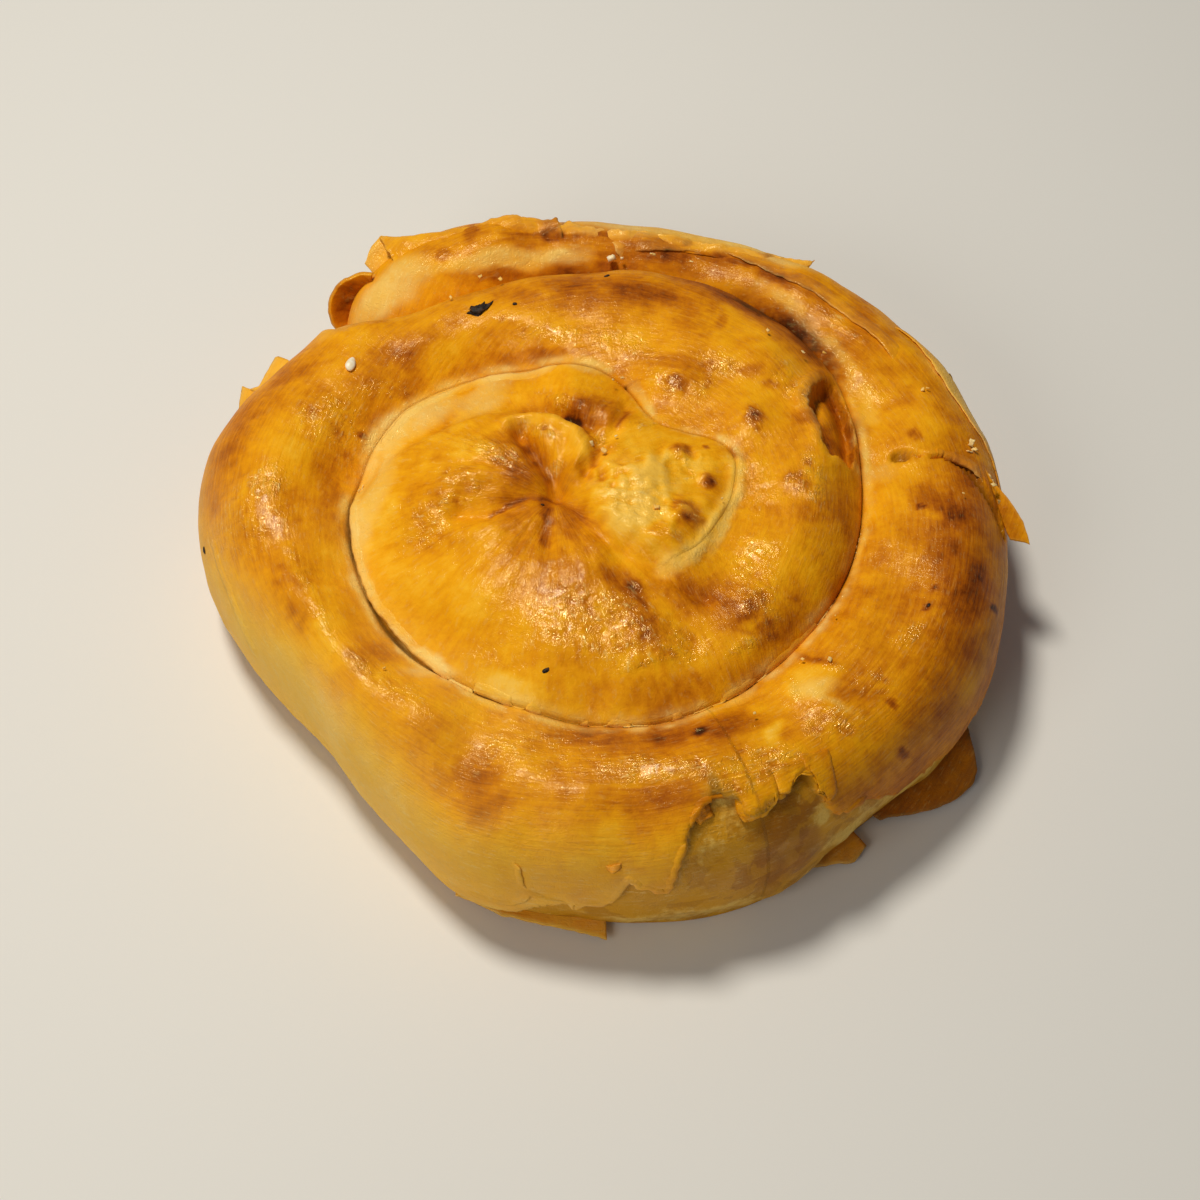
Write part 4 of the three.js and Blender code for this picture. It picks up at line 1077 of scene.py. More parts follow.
crust_finish = crust_material()
crust, row_count = seam_line_item()
coil_sizes = {
    "Rows": row_count, "Rows in a turn": TURN_ROWS, "Facets across the roll": ACROSS,
    "Facets down the side": DOWN_SIDE, "Rings under the foot": UNDER_FOOT,
    "Height of the knot": KNOT_HEIGHT, "Roundness of the knot": KNOT_ROUNDNESS,
    "Steepness of the knot": KNOT_STEEPNESS,
    "Height of the widest line": SIDE_WIDEST_HEIGHT, "Tuck of the side": SIDE_TUCK,
    "Crust": crust_finish,
}
coil_tree().grow(crust, coil_sizes)

coil_points = points_of(crust.data)
loop = open_loop(crust.data)
knot_points, knot_faces = knot_filling(coil_points[loop])
numbers = loop + list(range(len(coil_points), len(coil_points) + len(knot_points)))
faces = [list(polygon.vertices) for polygon in crust.data.polygons]
faces += [[numbers[v] for v in face] for face in knot_faces]
profile = np.vstack([coil_points, knot_points])
crust_mesh = make_mesh("pie_crust", placed(sculpt(profile)), faces)
crust_mesh.shade_smooth()
crust_mesh.materials.append(crust_finish)
for name, values in crust_fields(profile).items():
    give_field(crust_mesh, name, values)
crust.data = crust_mesh
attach(crust, "root")
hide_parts("spiral_pie")

# ---- Loose pastry on the crust: lips of torn sheets, straps and curls ----

skin = BVHTree.FromPolygons(points_of(crust_mesh).tolist(), faces)


def skin_at(points):
    """The nearest places on the crust to points in millimetres, and which way it faces there."""
    found = [skin.find_nearest(point)[:2] for point in placed(points)]
    spots = np.array([spot for spot, _ in found]) / MM - (*COIL_CENTRE, 0)
    return spots, np.array([normal for _, normal in found])


def unit(vectors):
    return vectors / np.maximum(np.linalg.norm(vectors, axis=-1, keepdims=True), 1e-9)


def length_of(line):
    return np.linalg.norm(np.diff(np.asarray(line, float)[:, :3], axis=0), axis=1).sum()


def in_steps(line, steps):
    """A line through given points, cut in even steps."""
    line = np.asarray(line, float)
    reach = np.concatenate([[0], np.cumsum(np.linalg.norm(np.diff(line, axis=0), axis=1))])
    at = np.linspace(0, reach[-1], steps + 1)
    return np.column_stack([np.interp(at, reach, column) for column in line.T])


def evened(line, spacing):
    """The line with points at about that spacing."""
    return in_steps(line, max(int(length_of(line) / spacing), 3))


def smooth_run(table, count):
    """A smooth line of that many points through given points, with all their columns."""
    at = np.linspace(0, len(table) - 1, count)
    columns = np.asarray(table, float).T
    return np.column_stack([along(np.column_stack([np.arange(len(table)), column]), at) for column in columns])


def smoothed(rows, times):
    for _ in range(times):
        padded = np.vstack([rows[:1], rows, rows[-1:]])
        rows = (padded[:-2] + 2 * padded[1:-1] + padded[2:]) / 4
    return rows


def leaf_item(name, grid, thickness, fields):
    """A thin closed sheet whose upper side is a grid of points in millimetres."""
    rows, columns = grid.shape[:2]
    normals = unit(np.cross(np.gradient(grid, axis=0), np.gradient(grid, axis=1)))
    upper = grid.reshape(-1, 3)
    lower = (grid - normals * thickness).reshape(-1, 3)
    count = rows * columns
    number = np.arange(count).reshape(rows, columns)
    a, b, c, d = number[:-1, :-1], number[1:, :-1], number[1:, 1:], number[:-1, 1:]
    top = np.stack([a, b, c, d], axis=-1).reshape(-1, 4)
    under = np.stack([d, c, b, a], axis=-1).reshape(-1, 4) + count
    border = np.concatenate([number[0, :-1], number[:-1, -1], number[-1, :0:-1], number[:0:-1, 0]])
    onward = np.roll(border, -1)
    rim = np.stack([border, onward, onward + count, border + count], axis=-1)
    mesh = make_mesh(name, placed(np.vstack([upper, lower])), np.vstack([top, under, rim]).tolist())
    mesh.shade_smooth()
    mesh.materials.append(crust_finish)
    for key, values in {"layer": 0.0, "in_knot": 0.0, "gap": 0.0, **fields}.items():
        give_field(mesh, key, np.clip(np.tile(np.broadcast_to(values, (rows, columns)).ravel(), 2), 0, 1.2))
    for key, values in strand_fields(upper).items():
        give_field(mesh, key, np.tile(values, 2))
    item = new_item(name, mesh)
    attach(item, "root")
    return item


def lip_item(name, line, width, lift, baked=0.0, cream=0.0, glint=0.0, ragged=0.5, seed=1, thickness=0.25,
             rim=0.4, spacing=0.4):
    """A torn edge of sheet. It follows a line on the crust, stands up there and sinks in behind it."""
    run = evened(line, spacing)
    spots, _ = skin_at(run)
    tear = [rough(spots, 2.2, seed + k, 3) + 1.3 * rough(spots, 8, seed + k, 2) for k in (0, 3, 6)]
    tear = ragged * np.column_stack(tear)
    run, normals = skin_at(spots + tear)
    normals = unit(smoothed(normals, 6))
    onward = unit(smoothed(np.gradient(run, axis=0), 8))
    across = unit(np.cross(normals, onward))
    end = np.minimum(np.arange(len(run)), np.arange(len(run))[::-1]) * spacing
    present = ease(0, 5, end)
    steps = max(int(width / 0.5), 4)
    step = width / steps * (0.1 + 0.9 * present)[:, None]
    lift = lift * np.clip(0.7 + 0.9 * rough(run, 7, seed + 9, 2), 0.15, 2)
    grid = []
    spots = run
    for k in range(steps + 1):
        share = k / steps
        raised = lift * (1 - ease(0, 0.7, share)) + 0.18 - 0.5 * ease(0.5, 1, share)
        raised = raised * present - 0.4 * (1 - present)
        grid.append(spots + normals * np.reshape(raised, (-1, 1)))
        spots, normals = skin_at(spots + across * step)
        normals = unit(smoothed(normals, 3))
        across = unit(across - normals * np.sum(across * normals, axis=1)[:, None])
    grid = np.stack(grid, axis=1)
    shape = grid.shape[:2]
    flat = grid.reshape(-1, 3)
    share = np.linspace(0, 1, steps + 1)[None, :]
    near_rim = 1 - ease(0, 0.5 / width + 0.04, share)
    blend = 1 - ease(0.25, 0.9, share)
    there = {key: values.reshape(shape) for key, values in crust_fields(flat, False).items()}
    noise_there = rough(flat, 3, seed + 12).reshape(shape)
    fields = {
        "baked": there["baked"] + blend * baked, "glint": there["glint"] + blend * glint,
        "cream": there["cream"] + blend * cream + rim * near_rim * (0.8 + 0.8 * noise_there),
    }
    return leaf_item(name, grid, thickness, fields)


def sheet_item(name, near, far, lift=0.0, laid=False, baked=0.0, cream=0.0, glint=0.0, ragged=0.4, seed=1,
               thickness=0.25, rim=0.4, crumple=0.2, spacing=0.45, bulge=0.0, scorch=0.0):
    """A loose sheet between two lines, torn along the far one. A laid one follows the crust."""
    columns = max(int(max(length_of(near), length_of(far)) / spacing), 6)
    edges = [in_steps(line, columns) for line in (near, far)]
    widest = np.linalg.norm(edges[1] - edges[0], axis=1).max()
    steps = max(int(widest / spacing), 5)
    shares = np.linspace(0, 1, steps + 1)
    outward = unit(edges[1] - edges[0])
    tear = ragged * (rough(edges[1], 2.4, seed, 3) + 0.8 * rough(edges[1], 7, seed + 4, 2))
    reach = (edges[1] - edges[0]) + outward * tear[:, None]
    grid = edges[0][:, None, :] + reach[:, None, :] * shares[None, :, None]
    end = np.minimum(np.arange(columns + 1), np.arange(columns + 1)[::-1])[:, None] * spacing
    sideways = ragged * np.stack([rough(grid.reshape(-1, 3), 2.4, seed + 7 + k, 3) for k in range(3)], axis=1)
    grid += sideways.reshape(grid.shape) * (1 - ease(0, 2, end))[..., None]
    flat = grid.reshape(-1, 3)
    swell = crumple * rough(flat, 5, seed + 20, 3).reshape(grid.shape[:2])
    if laid:
        spots, normals = skin_at(flat)
        normals = unit(normals).reshape(grid.shape)
        grid = spots.reshape(grid.shape)
        height = 0.1 + lift * shares[None, :] ** 1.6 + np.abs(swell) * shares[None, :]
        height = height * ease(-0.4, 1.2, end) - 0.15 * (1 - ease(0, 1.2, end))
    else:
        normals = unit(np.cross(np.gradient(grid, axis=0), np.gradient(grid, axis=1)))
        height = swell * shares[None, :] + bulge * np.sin(shares * math.pi)[None, :]
    grid = grid + normals * height[..., None]
    grid[..., 2] = np.maximum(grid[..., 2], thickness + 0.05)
    flat = grid.reshape(-1, 3)
    there = {key: values.reshape(grid.shape[:2]) for key, values in crust_fields(flat, False).items()}
    if not laid:
        fading = 1 - ease(0.1, 0.7, shares)[None, :]
        there["baked"] = (there["baked"] - baked) * fading
        there["cream"] = (there["cream"] - cream) * fading
        there["glint"] = there["glint"] * fading
    noise_there = rough(flat, 4, seed + 12).reshape(grid.shape[:2])
    near_rim = np.maximum(ease(0.82, 1, shares)[None, :], 1 - ease(0, 0.8, end))
    scorched = ease(0.15, 0.7, rough(flat, 6, seed + 30, 3)).reshape(grid.shape[:2]) * ease(0.1, 0.5, shares)[None, :]
    fields = {
        "baked": there["baked"] + baked + 0.12 * noise_there + scorch * scorched, "glint": there["glint"] + glint,
        "cream": there["cream"] + cream + rim * near_rim * (0.8 + 0.8 * noise_there),
    }
    return leaf_item(name, grid, thickness, fields)


def strap_item(name, run, across, baked, cream=0.0, glint=0.0, ragged=0.35, seed=1, thickness=0.55, rim_cream=0.4,
               crumple=0.4):
    """A loose strap of pastry along a run of points, each with its width, as in the part's source."""
    line = smooth_run(run, max(int(length_of(run) / 0.6), 6))
    sideways = np.array(across) / np.linalg.norm(across)
    steps = max(int(max(width for *_, width in run) / 0.7), 5)
    shares = np.linspace(-0.5, 0.5, steps + 1)
    spread = line[:, 3:4] * shares[None, :]
    tear = ragged * np.stack([rough(line[:, :3] + k * 9, 2.4, seed, 3) for k in (0, 1)], axis=1)
    edge = np.abs(shares[None, :] * 2) ** 3
    spread = spread + np.where(shares[None, :] < 0, tear[:, :1], tear[:, 1:]) * edge
    grid = line[:, None, :3] + sideways[None, None, :] * spread[..., None]
    flat = grid.reshape(-1, 3)
    for k in range(3):
        grid[..., k] += crumple * rough(flat, 6, seed + 20 + k, 3).reshape(grid.shape[:2])
    grid[..., 2] = np.maximum(grid[..., 2], thickness + 0.05)
    noise_there = rough(flat, 4, seed + 12).reshape(grid.shape[:2])
    near_edge = np.maximum(edge, np.linspace(0, 1, len(line))[:, None] ** 14)
    fields = {
        "baked": baked + 0.12 * noise_there + 0.08 * near_edge, "glint": glint,
        "cream": cream + rim_cream * near_edge ** 2,
    }
    return leaf_item(name, grid, thickness, fields)


# The curled end of the tail, open towards the front: the sheet narrows to a pocket behind its rim.
TAIL_CURL_RIM = [
    (-50.5, 69.3, 30), (-54, 69.6, 29.6), (-58, 67.6, 28.4), (-60.2, 65, 26), (-60, 62.6, 22.6), (-57.8, 60.6, 19.4),
    (-54.6, 60, 18), (-51.6, 61, 19),
]
TAIL_CURL_HEART = (-51.5, 68.5, 20)


def tail_curl():
    rim = smooth_run(TAIL_CURL_RIM, 60)
    rim += 0.35 * np.column_stack([rough(rim, 3, 61 + k, 3) for k in range(3)])
    shares = np.linspace(0, 0.8, 14)
    heart = np.array(TAIL_CURL_HEART)
    grid = rim[:, None, :] + (heart - rim)[:, None, :] * (shares ** 1.5)[None, :, None]
    grid += 1.4 * np.sin(shares * math.pi)[None, :, None] * unit(rim - heart)[:, None, :]
    grid = grid[::-1]
    noise_there = rough(grid.reshape(-1, 3), 4, 66).reshape(grid.shape[:2])
    fields = {
        "baked": 0.4 + 0.34 * ease(0, 0.6, shares) + 0.1 * noise_there,
        "cream": 0.35 * (1 - ease(0, 0.12, shares)), "glint": 0.1,
    }
    return leaf_item("tail_curl", grid, 0.6, fields)


tail_curl()

# The tip of the sheet torn along the crack, and the outermost sheet at the back with its corner.
sheet_item("crack_tip", [(70, 13.6, 33), (73.8, 13.2, 32.3), (77.2, 11, 30.9), (79.3, 8, 29.6), (81.5, 3.9, 27.6),
                         (83.3, -0.6, 25.2)],
           [(72, 22, 32.4), (76.6, 18, 31.6), (80.6, 10.6, 30), (84.2, 5.4, 28.6), (86, 2.4, 27.2), (87.4, -1.6, 24.8)],
           baked=0.46, seed=5, ragged=0.15, rim=0.25, thickness=0.5)
sheet_item("back_sheet", [(-9, 75.6, 35), (2, 74, 34.2), (14, 73, 34), (24, 71.4, 33.6), (33, 69.2, 33),
                          (40, 66.6, 32)],
           [(-9.8, 79.6, 36.2), (2, 78, 35.4), (13.8, 76.6, 35.2), (22.7, 74.8, 34.8), (32.8, 73, 34.2),
            (40.1, 71.6, 33.2), (47.8, 71.2, 31.6)],
           baked=0.36, cream=0.3, seed=7, ragged=0.9, crumple=1.1, rim=0.3, bulge=0.4, thickness=0.3, scorch=0.4)
sheet_item("back_left_sheet", [(-46, 71, 32), (-38, 73.2, 33.6), (-28, 74.6, 34.6), (-18, 75, 34.8), (-8, 74.6, 34.6)],
           [(-49.6, 79.8, 31.2), (-45.2, 77.6, 33), (-38, 77.4, 34.4), (-30, 78.8, 35.4), (-24.5, 80.4, 36.8),
            (-18.5, 80.2, 37), (-9.4, 79.4, 36.4)],
           baked=0.44, cream=0.12, seed=27, ragged=0.6, crumple=0.7, rim=0.3, bulge=0.6, thickness=0.4, scorch=0.3)
sheet_item("tail_corner", [(-36, 70, 32.4), (-41, 68, 31.4), (-45, 66.6, 30), (-48, 66, 28)],
           [(-43, 77.4, 33.4), (-49.3, 80.3, 31), (-51.4, 77.6, 29.6), (-52.6, 74, 28.4)],
           baked=0.34, cream=0.35, seed=37, ragged=0.2, crumple=0.5, rim=0.35, bulge=1.4, thickness=0.3)

# The flap along the front left foot, and the browned sheets at the right foot.
strap_item("front_foot_flap", [
    (-28, -66.2, 3, 6), (-16.8, -69.2, 2.2, 9), (-6.4, -71.5, 1.8, 9), (0.9, -73.2, 1.5, 9.4),
], (0.1, -1, 0), 0.24, cream=0.3, seed=9)
strap_item("right_foot_sheet", [
    (71, -27.5, 3, 10), (70.8, -37, 2, 12), (67.1, -42.7, 1.7, 12), (58.8, -46.5, 1.8, 12), (51.5, -49, 2, 9),
], (0.75, -0.66, 0), 0.68, seed=11, glint=0.2, cream=0.12, rim_cream=0.1)
strap_item("front_foot_sheet", [
    (50.5, -55.5, 2.2, 6), (45.9, -57.3, 1.8, 10), (42.5, -57.7, 1.8, 10), (38.5, -60, 2, 7),
], (0.64, -0.77, 0), 0.5, cream=0.25, seed=13, glint=0.2)

# A thin sheet at the left shoulder, torn to two points.
sheet_item("shoulder_sheet", [(-51, 47, 33.6), (-56, 43, 33), (-61, 38, 32), (-66, 33, 30.6), (-70, 28, 28.6),
                              (-72, 24, 27)],
           [(-55.4, 48.6, 31.6), (-60, 46.6, 31), (-63.6, 43.6, 30.8), (-66, 41.4, 30.6), (-67.4, 42.2, 30.4),
            (-69.6, 45, 29.6), (-71.6, 40.8, 28.6), (-72.6, 37.4, 28.4), (-74.4, 37, 28), (-76.6, 39.2, 26.8),
            (-77, 36, 25.6), (-77.4, 33, 24), (-77.6, 27, 23)],
           baked=0.3, cream=0.25, seed=15, ragged=0.15, crumple=0.3, rim=0.3, thickness=0.4)

# The torn edge of the brown crust on the front right side, sheet by sheet from left to right.
TORN_LIPS = [
    [(-27, -71.4, 13.4), (-24.1, -73.2, 12.2), (-19.6, -74.8, 11.8), (-16, -75.8, 12.6), (-13.6, -76.4, 15.4),
     (-12.6, -76.3, 18), (-10.1, -76.8, 16.4), (-7.4, -77.1, 16), (-4.6, -77.4, 14.1), (-1.8, -77.6, 16.9),
     (0.9, -77.7, 16.9),
     (3.6, -77.7, 20.1), (5.3, -77.3, 22.4), (5.1, -76.8, 24.3), (7.3, -77.4, 21.9), (10, -77.6, 21.2),
     (12.4, -77.5, 21.3), (13.7, -76.6, 25), (14.7, -74.9, 28.8), (15.6, -73.1, 31.1), (16.3, -70.8, 33.5)],
    [(14.8, -72.3, 32.3), (16.3, -70.8, 33.5), (17.5, -69.3, 34.6), (18.8, -67.8, 35.5), (20.4, -67.3, 35.6),
     (22.2, -66.3, 36), (23.8, -65.8, 35.9)],
    [(41.8, -63.2, 27.5), (42.9, -62.8, 24.5), (45.5, -61.6, 23.3), (48.5, -59.4, 22.8), (51.8, -57.1, 20.3),
     (56, -53.5, 16.1), (62, -46, 15), (69, -36, 14), (74, -27, 11)],
]
for k, line in enumerate(TORN_LIPS):
    lip_item(f"torn_edge_{k + 1}", line, 2.4, 0.2, 0.03, ragged=0.2, seed=20 + 3 * k, rim=0.15)

lip_item("front_crack_lip", [(-12.6, -76.3, 17.4), (-13.2, -75.8, 20), (-15.4, -74.2, 25.5), (-17.3, -72.6, 28.1)],
         2, 0.3, 0.03, seed=71, ragged=0.7, rim=0.1, thickness=0.18)
lip_item("left_side_lip", [(-79.6, -2, 29), (-77, -6.5, 29.5), (-74.4, -12, 28), (-72.2, -17, 26), (-70.8, -20, 23.5),
                           (-69.2, -23.4, 20.5), (-67.6, -27, 16)], 3, 0.25, 0, 0.1, seed=75, ragged=0.2, rim=0.5)
sheet_item("front_blister", [(1, -75.9, 27.8), (3.8, -75.5, 28.6)], [(1.2, -77, 27), (3.4, -77, 27.4)], 0.8, True, 0.2,
           ragged=0.4, seed=88, rim=0.1, thickness=0.2)

# Flakes of the crust above the tear that hang by their upper side: the upper line, the lower line.
HANGING_FLAKES = [
    ([(23.6, -62.6, 37.4), (27, -61.8, 37), (31, -60.6, 36.6)],
     [(24.9, -67.6, 32.6), (26, -68.6, 31.6), (29, -67.6, 32.2), (31.4, -66.6, 32.6), (32.2, -64.6, 34.2)]),
    ([(30.6, -60.2, 37), (34.4, -59.4, 36.8), (37.6, -58.6, 36.6)],
     [(32.2, -64.4, 34.2), (34.6, -64, 34.2), (36.6, -63, 34.6), (38, -62, 35)]),
    ([(36.6, -57.6, 37), (39, -57, 36.6), (42, -56, 36)],
     [(38.2, -62.4, 34.4), (39, -64.6, 32.4), (40.8, -65.4, 30.6), (42.4, -65, 29.6), (44, -61.6, 30.6)]),
    ([(16, -69.4, 34.6), (18.6, -66.4, 36)], [(18.2, -70.2, 33.2), (20.6, -69, 33.8)]),
]
for k, (upper, lower) in enumerate(HANGING_FLAKES):
    sheet_item(f"hanging_flake_{k + 1}", upper, lower, 0.3, True, 0.04, 0, 0.15, ragged=0.3, seed=60 + 9 * k,
               rim=0.15, thickness=0.2)


def seam_stretch(first, last, outward=0.0):
    """Points along the seam between two angles, moved outwards by some millimetres."""
    phi = np.arange(first, last, 2.0)
    turn = np.radians(phi)
    r = along(SEAM, phi) + outward
    return np.column_stack([r * np.cos(turn), r * np.sin(turn), along(SEAM, phi, 2)])


# The knot's own pale edge where it meets the next turn.
KNOT_EDGES = [(100, 164, 3.4, 0.25, 0.3), (174, 262, 3, 0.3, 0.3), (262, 340, 2.2, 0.2, 0.2)]
for k, (first, last, width, lift, pale) in enumerate(KNOT_EDGES):
    lip_item(f"knot_edge_{k + 1}", seam_stretch(first, last, -0.5), width, lift, -0.03, pale, seed=81 + 4 * k,
             ragged=0.5, rim=0.6, thickness=0.2)

# Lips of sheet elsewhere: the crack, the broken blister, the back and the right side.
lip_item("crack_lip", [(x + 0.5, y + 0.6, z) for x, y, z in CRACK_RUN[:8]], 4, 0.3, -0.04, 0.1, seed=41,
         ragged=0.2, rim=0.3)
lip_item("blister_lip", [
    (45.6, 7.6, 41), (44.8, 11.7, 42), (44, 16.2, 41.2), (42.6, 20.1, 40.7), (42, 23.6, 41), (43.7, 27.7, 39.3),
    (45.7, 31.8, 37.9), (48.6, 33.8, 36),
], 4, 0.35, 0, 0.1, 0.2, seed=44, ragged=0.6, rim=0.5)
lip_item("back_band_lip", [
    (4.9, 72.5, 34), (13.3, 72.2, 34.2), (20.6, 72.4, 34), (28.3, 71.4, 33.7), (34.8, 67.6, 34.2), (40.8, 62.8, 34.7),
    (47.8, 57.6, 34.7), (53.6, 51.4, 34.6), (59, 44.6, 34.2), (63, 38, 34),
], 5, 0.3, 0, 0.1, 0.1, seed=50, ragged=0.3, rim=0.3, thickness=0.18)
lip_item("ragged_sheet_end", [
    (1.6, 76.4, 35), (3.2, 73.4, 34.6), (4.4, 70.6, 33.6), (6.4, 69.2, 33),
], 4, 0.4, -0.1, 0.2, seed=57, ragged=0.4, rim=0.4)
lip_item("right_side_lip", [
    (62, 54, 32), (67.6, 46.3, 32), (71, 38, 32.7), (74.6, 30.8, 31.3), (78.1, 23.4, 30.4), (82.2, 15, 26), (84, 8, 22),
], 10, 0.4, -0.05, 0.15, seed=53, ragged=0.4, rim=0.2)

# ---- What lies on the crust ----

def top_at(x, y):
    """The height of the crust at a plan place, and which way it faces."""
    start = Vector(placed([(x, y, 80)])[0])
    spot, normal = skin.ray_cast(start, Vector((0, 0, -1)))[:2]
    return spot.z / MM, np.array(normal)


def lying(points, x, y, turn, sunk):
    """Points round the origin, turned and laid on the crust at a plan place."""
    height, normal = top_at(x, y)
    heading = np.array([math.cos(math.radians(turn)), math.sin(math.radians(turn)), 0])
    sideways = unit(np.cross(normal, heading))
    forward = np.cross(sideways, normal)
    axes = np.array([forward, sideways, normal])
    return points @ axes + (x, y, height) - sunk * normal


def ball(rings, columns):
    """Points of a closed unit ball from pole to pole, and its faces."""
    fall = np.linspace(0, math.pi, rings + 1)[1:-1]
    turn = np.arange(columns) / columns * 2 * math.pi
    body = np.stack([
        np.outer(np.cos(fall), np.ones(columns)), np.outer(np.sin(fall), np.cos(turn)),
        np.outer(np.sin(fall), np.sin(turn)),
    ], axis=-1).reshape(-1, 3)
    points = np.vstack([body, [(1, 0, 0), (-1, 0, 0)]])
    faces = []
    for start in range(0, (rings - 2) * columns, columns):
        for j in range(columns):
            onward = (j + 1) % columns
            faces.append((start + j, start + onward, start + columns + onward, start + columns + j))
    last = (rings - 2) * columns
    faces += [(len(body), (j + 1) % columns, j) for j in range(columns)]
    faces += [(len(body) + 1, last + j, last + (j + 1) % columns) for j in range(columns)]
    return points, faces


def seed_material():
    material, tree = shader_tree("sesame seed")
    cloud = noise(tree, 900.0, 3.0)
    tip = noise(tree, 300.0, 2.0)
    colour = mixed(tree, tree.ease(0.4, 0.65, cloud), (0.92, 0.80, 0.55), (1.0, 0.93, 0.76))
    colour = mixed(tree, tree.ease(0.6, 0.75, tip) * 0.3, colour, (0.8, 0.55, 0.22))
    bump = tree.node("ShaderNodeBump", {}, {"Strength": 0.6, "Distance": 1.0, "Height": cloud * 0.00012})
    surface(tree, Base_Color=colour, Roughness=0.3 + cloud * 0.2, Specular_IOR_Level=0.6, Normal=bump)
    return material


def burnt_material():
    material, tree = shader_tree("burnt pastry")
    cloud = noise(tree, 1100.0, 4.0, 0.65)
    colour = mixed(tree, tree.ease(0.45, 0.7, cloud), (0.010, 0.006, 0.004), (0.075, 0.032, 0.012))
    bump = tree.node("ShaderNodeBump", {}, {"Strength": 1.0, "Distance": 1.0, "Height": cloud * 0.0003})
    surface(tree, Base_Color=colour, Roughness=0.35 + cloud * 0.4, Specular_IOR_Level=0.35, Normal=bump)
    return material


def small_item(name, points, faces, finish):
    mesh = make_mesh(name, placed(points), faces)
    mesh.shade_smooth()
    mesh.materials.append(finish)
    item = new_item(name, mesh)
    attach(item, "root")
    return item


SEED_AT, SEED_SIZE, SEED_TURN = (-51.9, 34.4), (3.5, 2.2, 1.3), 80
BURNT_AT, BURNT_SIZE, BURNT_TURN = (-25.8, 48.6), (5.4, 3, 1.3), 22

seed_points, seed_faces = ball(18, 20)
taper = 1 - 0.28 * ease(-0.4, 1, seed_points[:, 0])
seed_points = seed_points * np.column_stack([np.ones(len(taper)), taper, taper]) * np.array(SEED_SIZE) / 2
seed_points += 0.05 * np.column_stack([grain(seed_points, 0.9, k) for k in (1, 2, 3)])
small_item("sesame_seed", lying(seed_points, *SEED_AT, SEED_TURN, -0.45), seed_faces, seed_material())

burnt_points, burnt_faces = ball(26, 34)
crumpled = 1 + 0.5 * rough(burnt_points, 0.6, 5, 4)
burnt_points = burnt_points * crumpled[:, None] * np.array(BURNT_SIZE) / 2
burnt_points[:, 1] += 0.12 * burnt_points[:, 0] ** 2 - 0.3
burnt_points[:, 2] += 0.45 * rough(burnt_points, 1.2, 9, 3)
burnt_finish = burnt_material()
small_item("burnt_flake", lying(burnt_points, *BURNT_AT, BURNT_TURN, 0.0), burnt_faces, burnt_finish)

# Small burnt and browned specks: x, y, length, width, turn.
SPECKS = [
    (-10, -41, 1.5, 0.8, 30), (-18, 49, 1.1, 0.8, 0), (1.5, 57, 1.2, 0.7, 20), (-11.2, -5.1, 0.8, 0.6, 0),
    (63, -24.4, 1, 0.6, 60), (-80, -3.5, 1.6, 1, 60),
]
for k, (x, y, length, width, turn) in enumerate(SPECKS):
    points, speck_faces = ball(8, 10)
    points = points * (1 + 0.3 * rough(points, 0.8, 30 + k, 2))[:, None] * np.array([length, width, 0.5]) / 2
    small_item(f"speck_{k + 1}", lying(points, x, y, turn, -0.05), speck_faces, burnt_finish)


# ---- Flakes along the seam and the tears, and crumbs of filling ----

def scatter_tree():
    tree = GeometryTree("Pastry flakes on marked places")
    places = tree.input("Places", "NodeSocketGeometry")
    length = tree.input("Length", "NodeSocketFloat", 1.0)
    width = tree.input("Width", "NodeSocketFloat", 0.7)
    thickness = tree.input("Thickness", "NodeSocketFloat", 0.15)
    unevenness = tree.input("Unevenness", "NodeSocketFloat", 0.3)
    seed = tree.input("Seed", "NodeSocketInt", 1)
    material = tree.input("Finish", "NodeSocketMaterial")

    def stored(name, kind="FLOAT"):
        return tree.node("GeometryNodeInputNamedAttribute", {"data_type": kind}, {"Name": name})

    size = tree.node("ShaderNodeCombineXYZ", {}, (length, width, thickness))
    slab = tree.node("GeometryNodeMeshCube", {}, {"Size": size, "Vertices X": 5, "Vertices Y": 4, "Vertices Z": 2})
    outward = stored("facing", "FLOAT_VECTOR")
    upright = tree.node("FunctionNodeAlignRotationToVector", {"axis": "Z"}, {"Vector": outward})
    spin = tree.node("FunctionNodeRandomValue", {"data_type": "FLOAT"}, {2: -3.1416, 3: 3.1416, "Seed": seed}, 1)
    lean = tree.node("FunctionNodeRandomValue", {"data_type": "FLOAT"}, {2: -0.4, 3: 0.4, "Seed": seed + 1}, 1)
    own_turn = tree.node("ShaderNodeCombineXYZ", {}, (lean, lean * 0.7, spin))
    turned = tree.node("FunctionNodeRotateRotation", {"rotation_space": "LOCAL"}, (upright, own_turn))
    values = {"Points": places, "Instance": slab, "Rotation": turned, "Scale": stored("size")}
    flakes = tree.node("GeometryNodeInstanceOnPoints", {}, values)
    whole = tree.node("GeometryNodeRealizeInstances", {}, {"Geometry": flakes})
    position = tree.node("GeometryNodeInputPosition")
    cloud = tree.node("ShaderNodeTexNoise", {}, {"Vector": position, "Scale": 1.7, "Detail": 2.0}, 1)
    centred = tree.node("ShaderNodeVectorMath", {"operation": "SUBTRACT"}, (cloud, (0.5, 0.5, 0.5)))
    push = tree.node("ShaderNodeVectorMath", {"operation": "SCALE"}, {"Vector": centred, "Scale": unevenness * 2.2})
    uneven = tree.node("GeometryNodeSetPosition", {}, {"Geometry": whole, "Offset": push})
    tree.finish(uneven, material)
    return tree


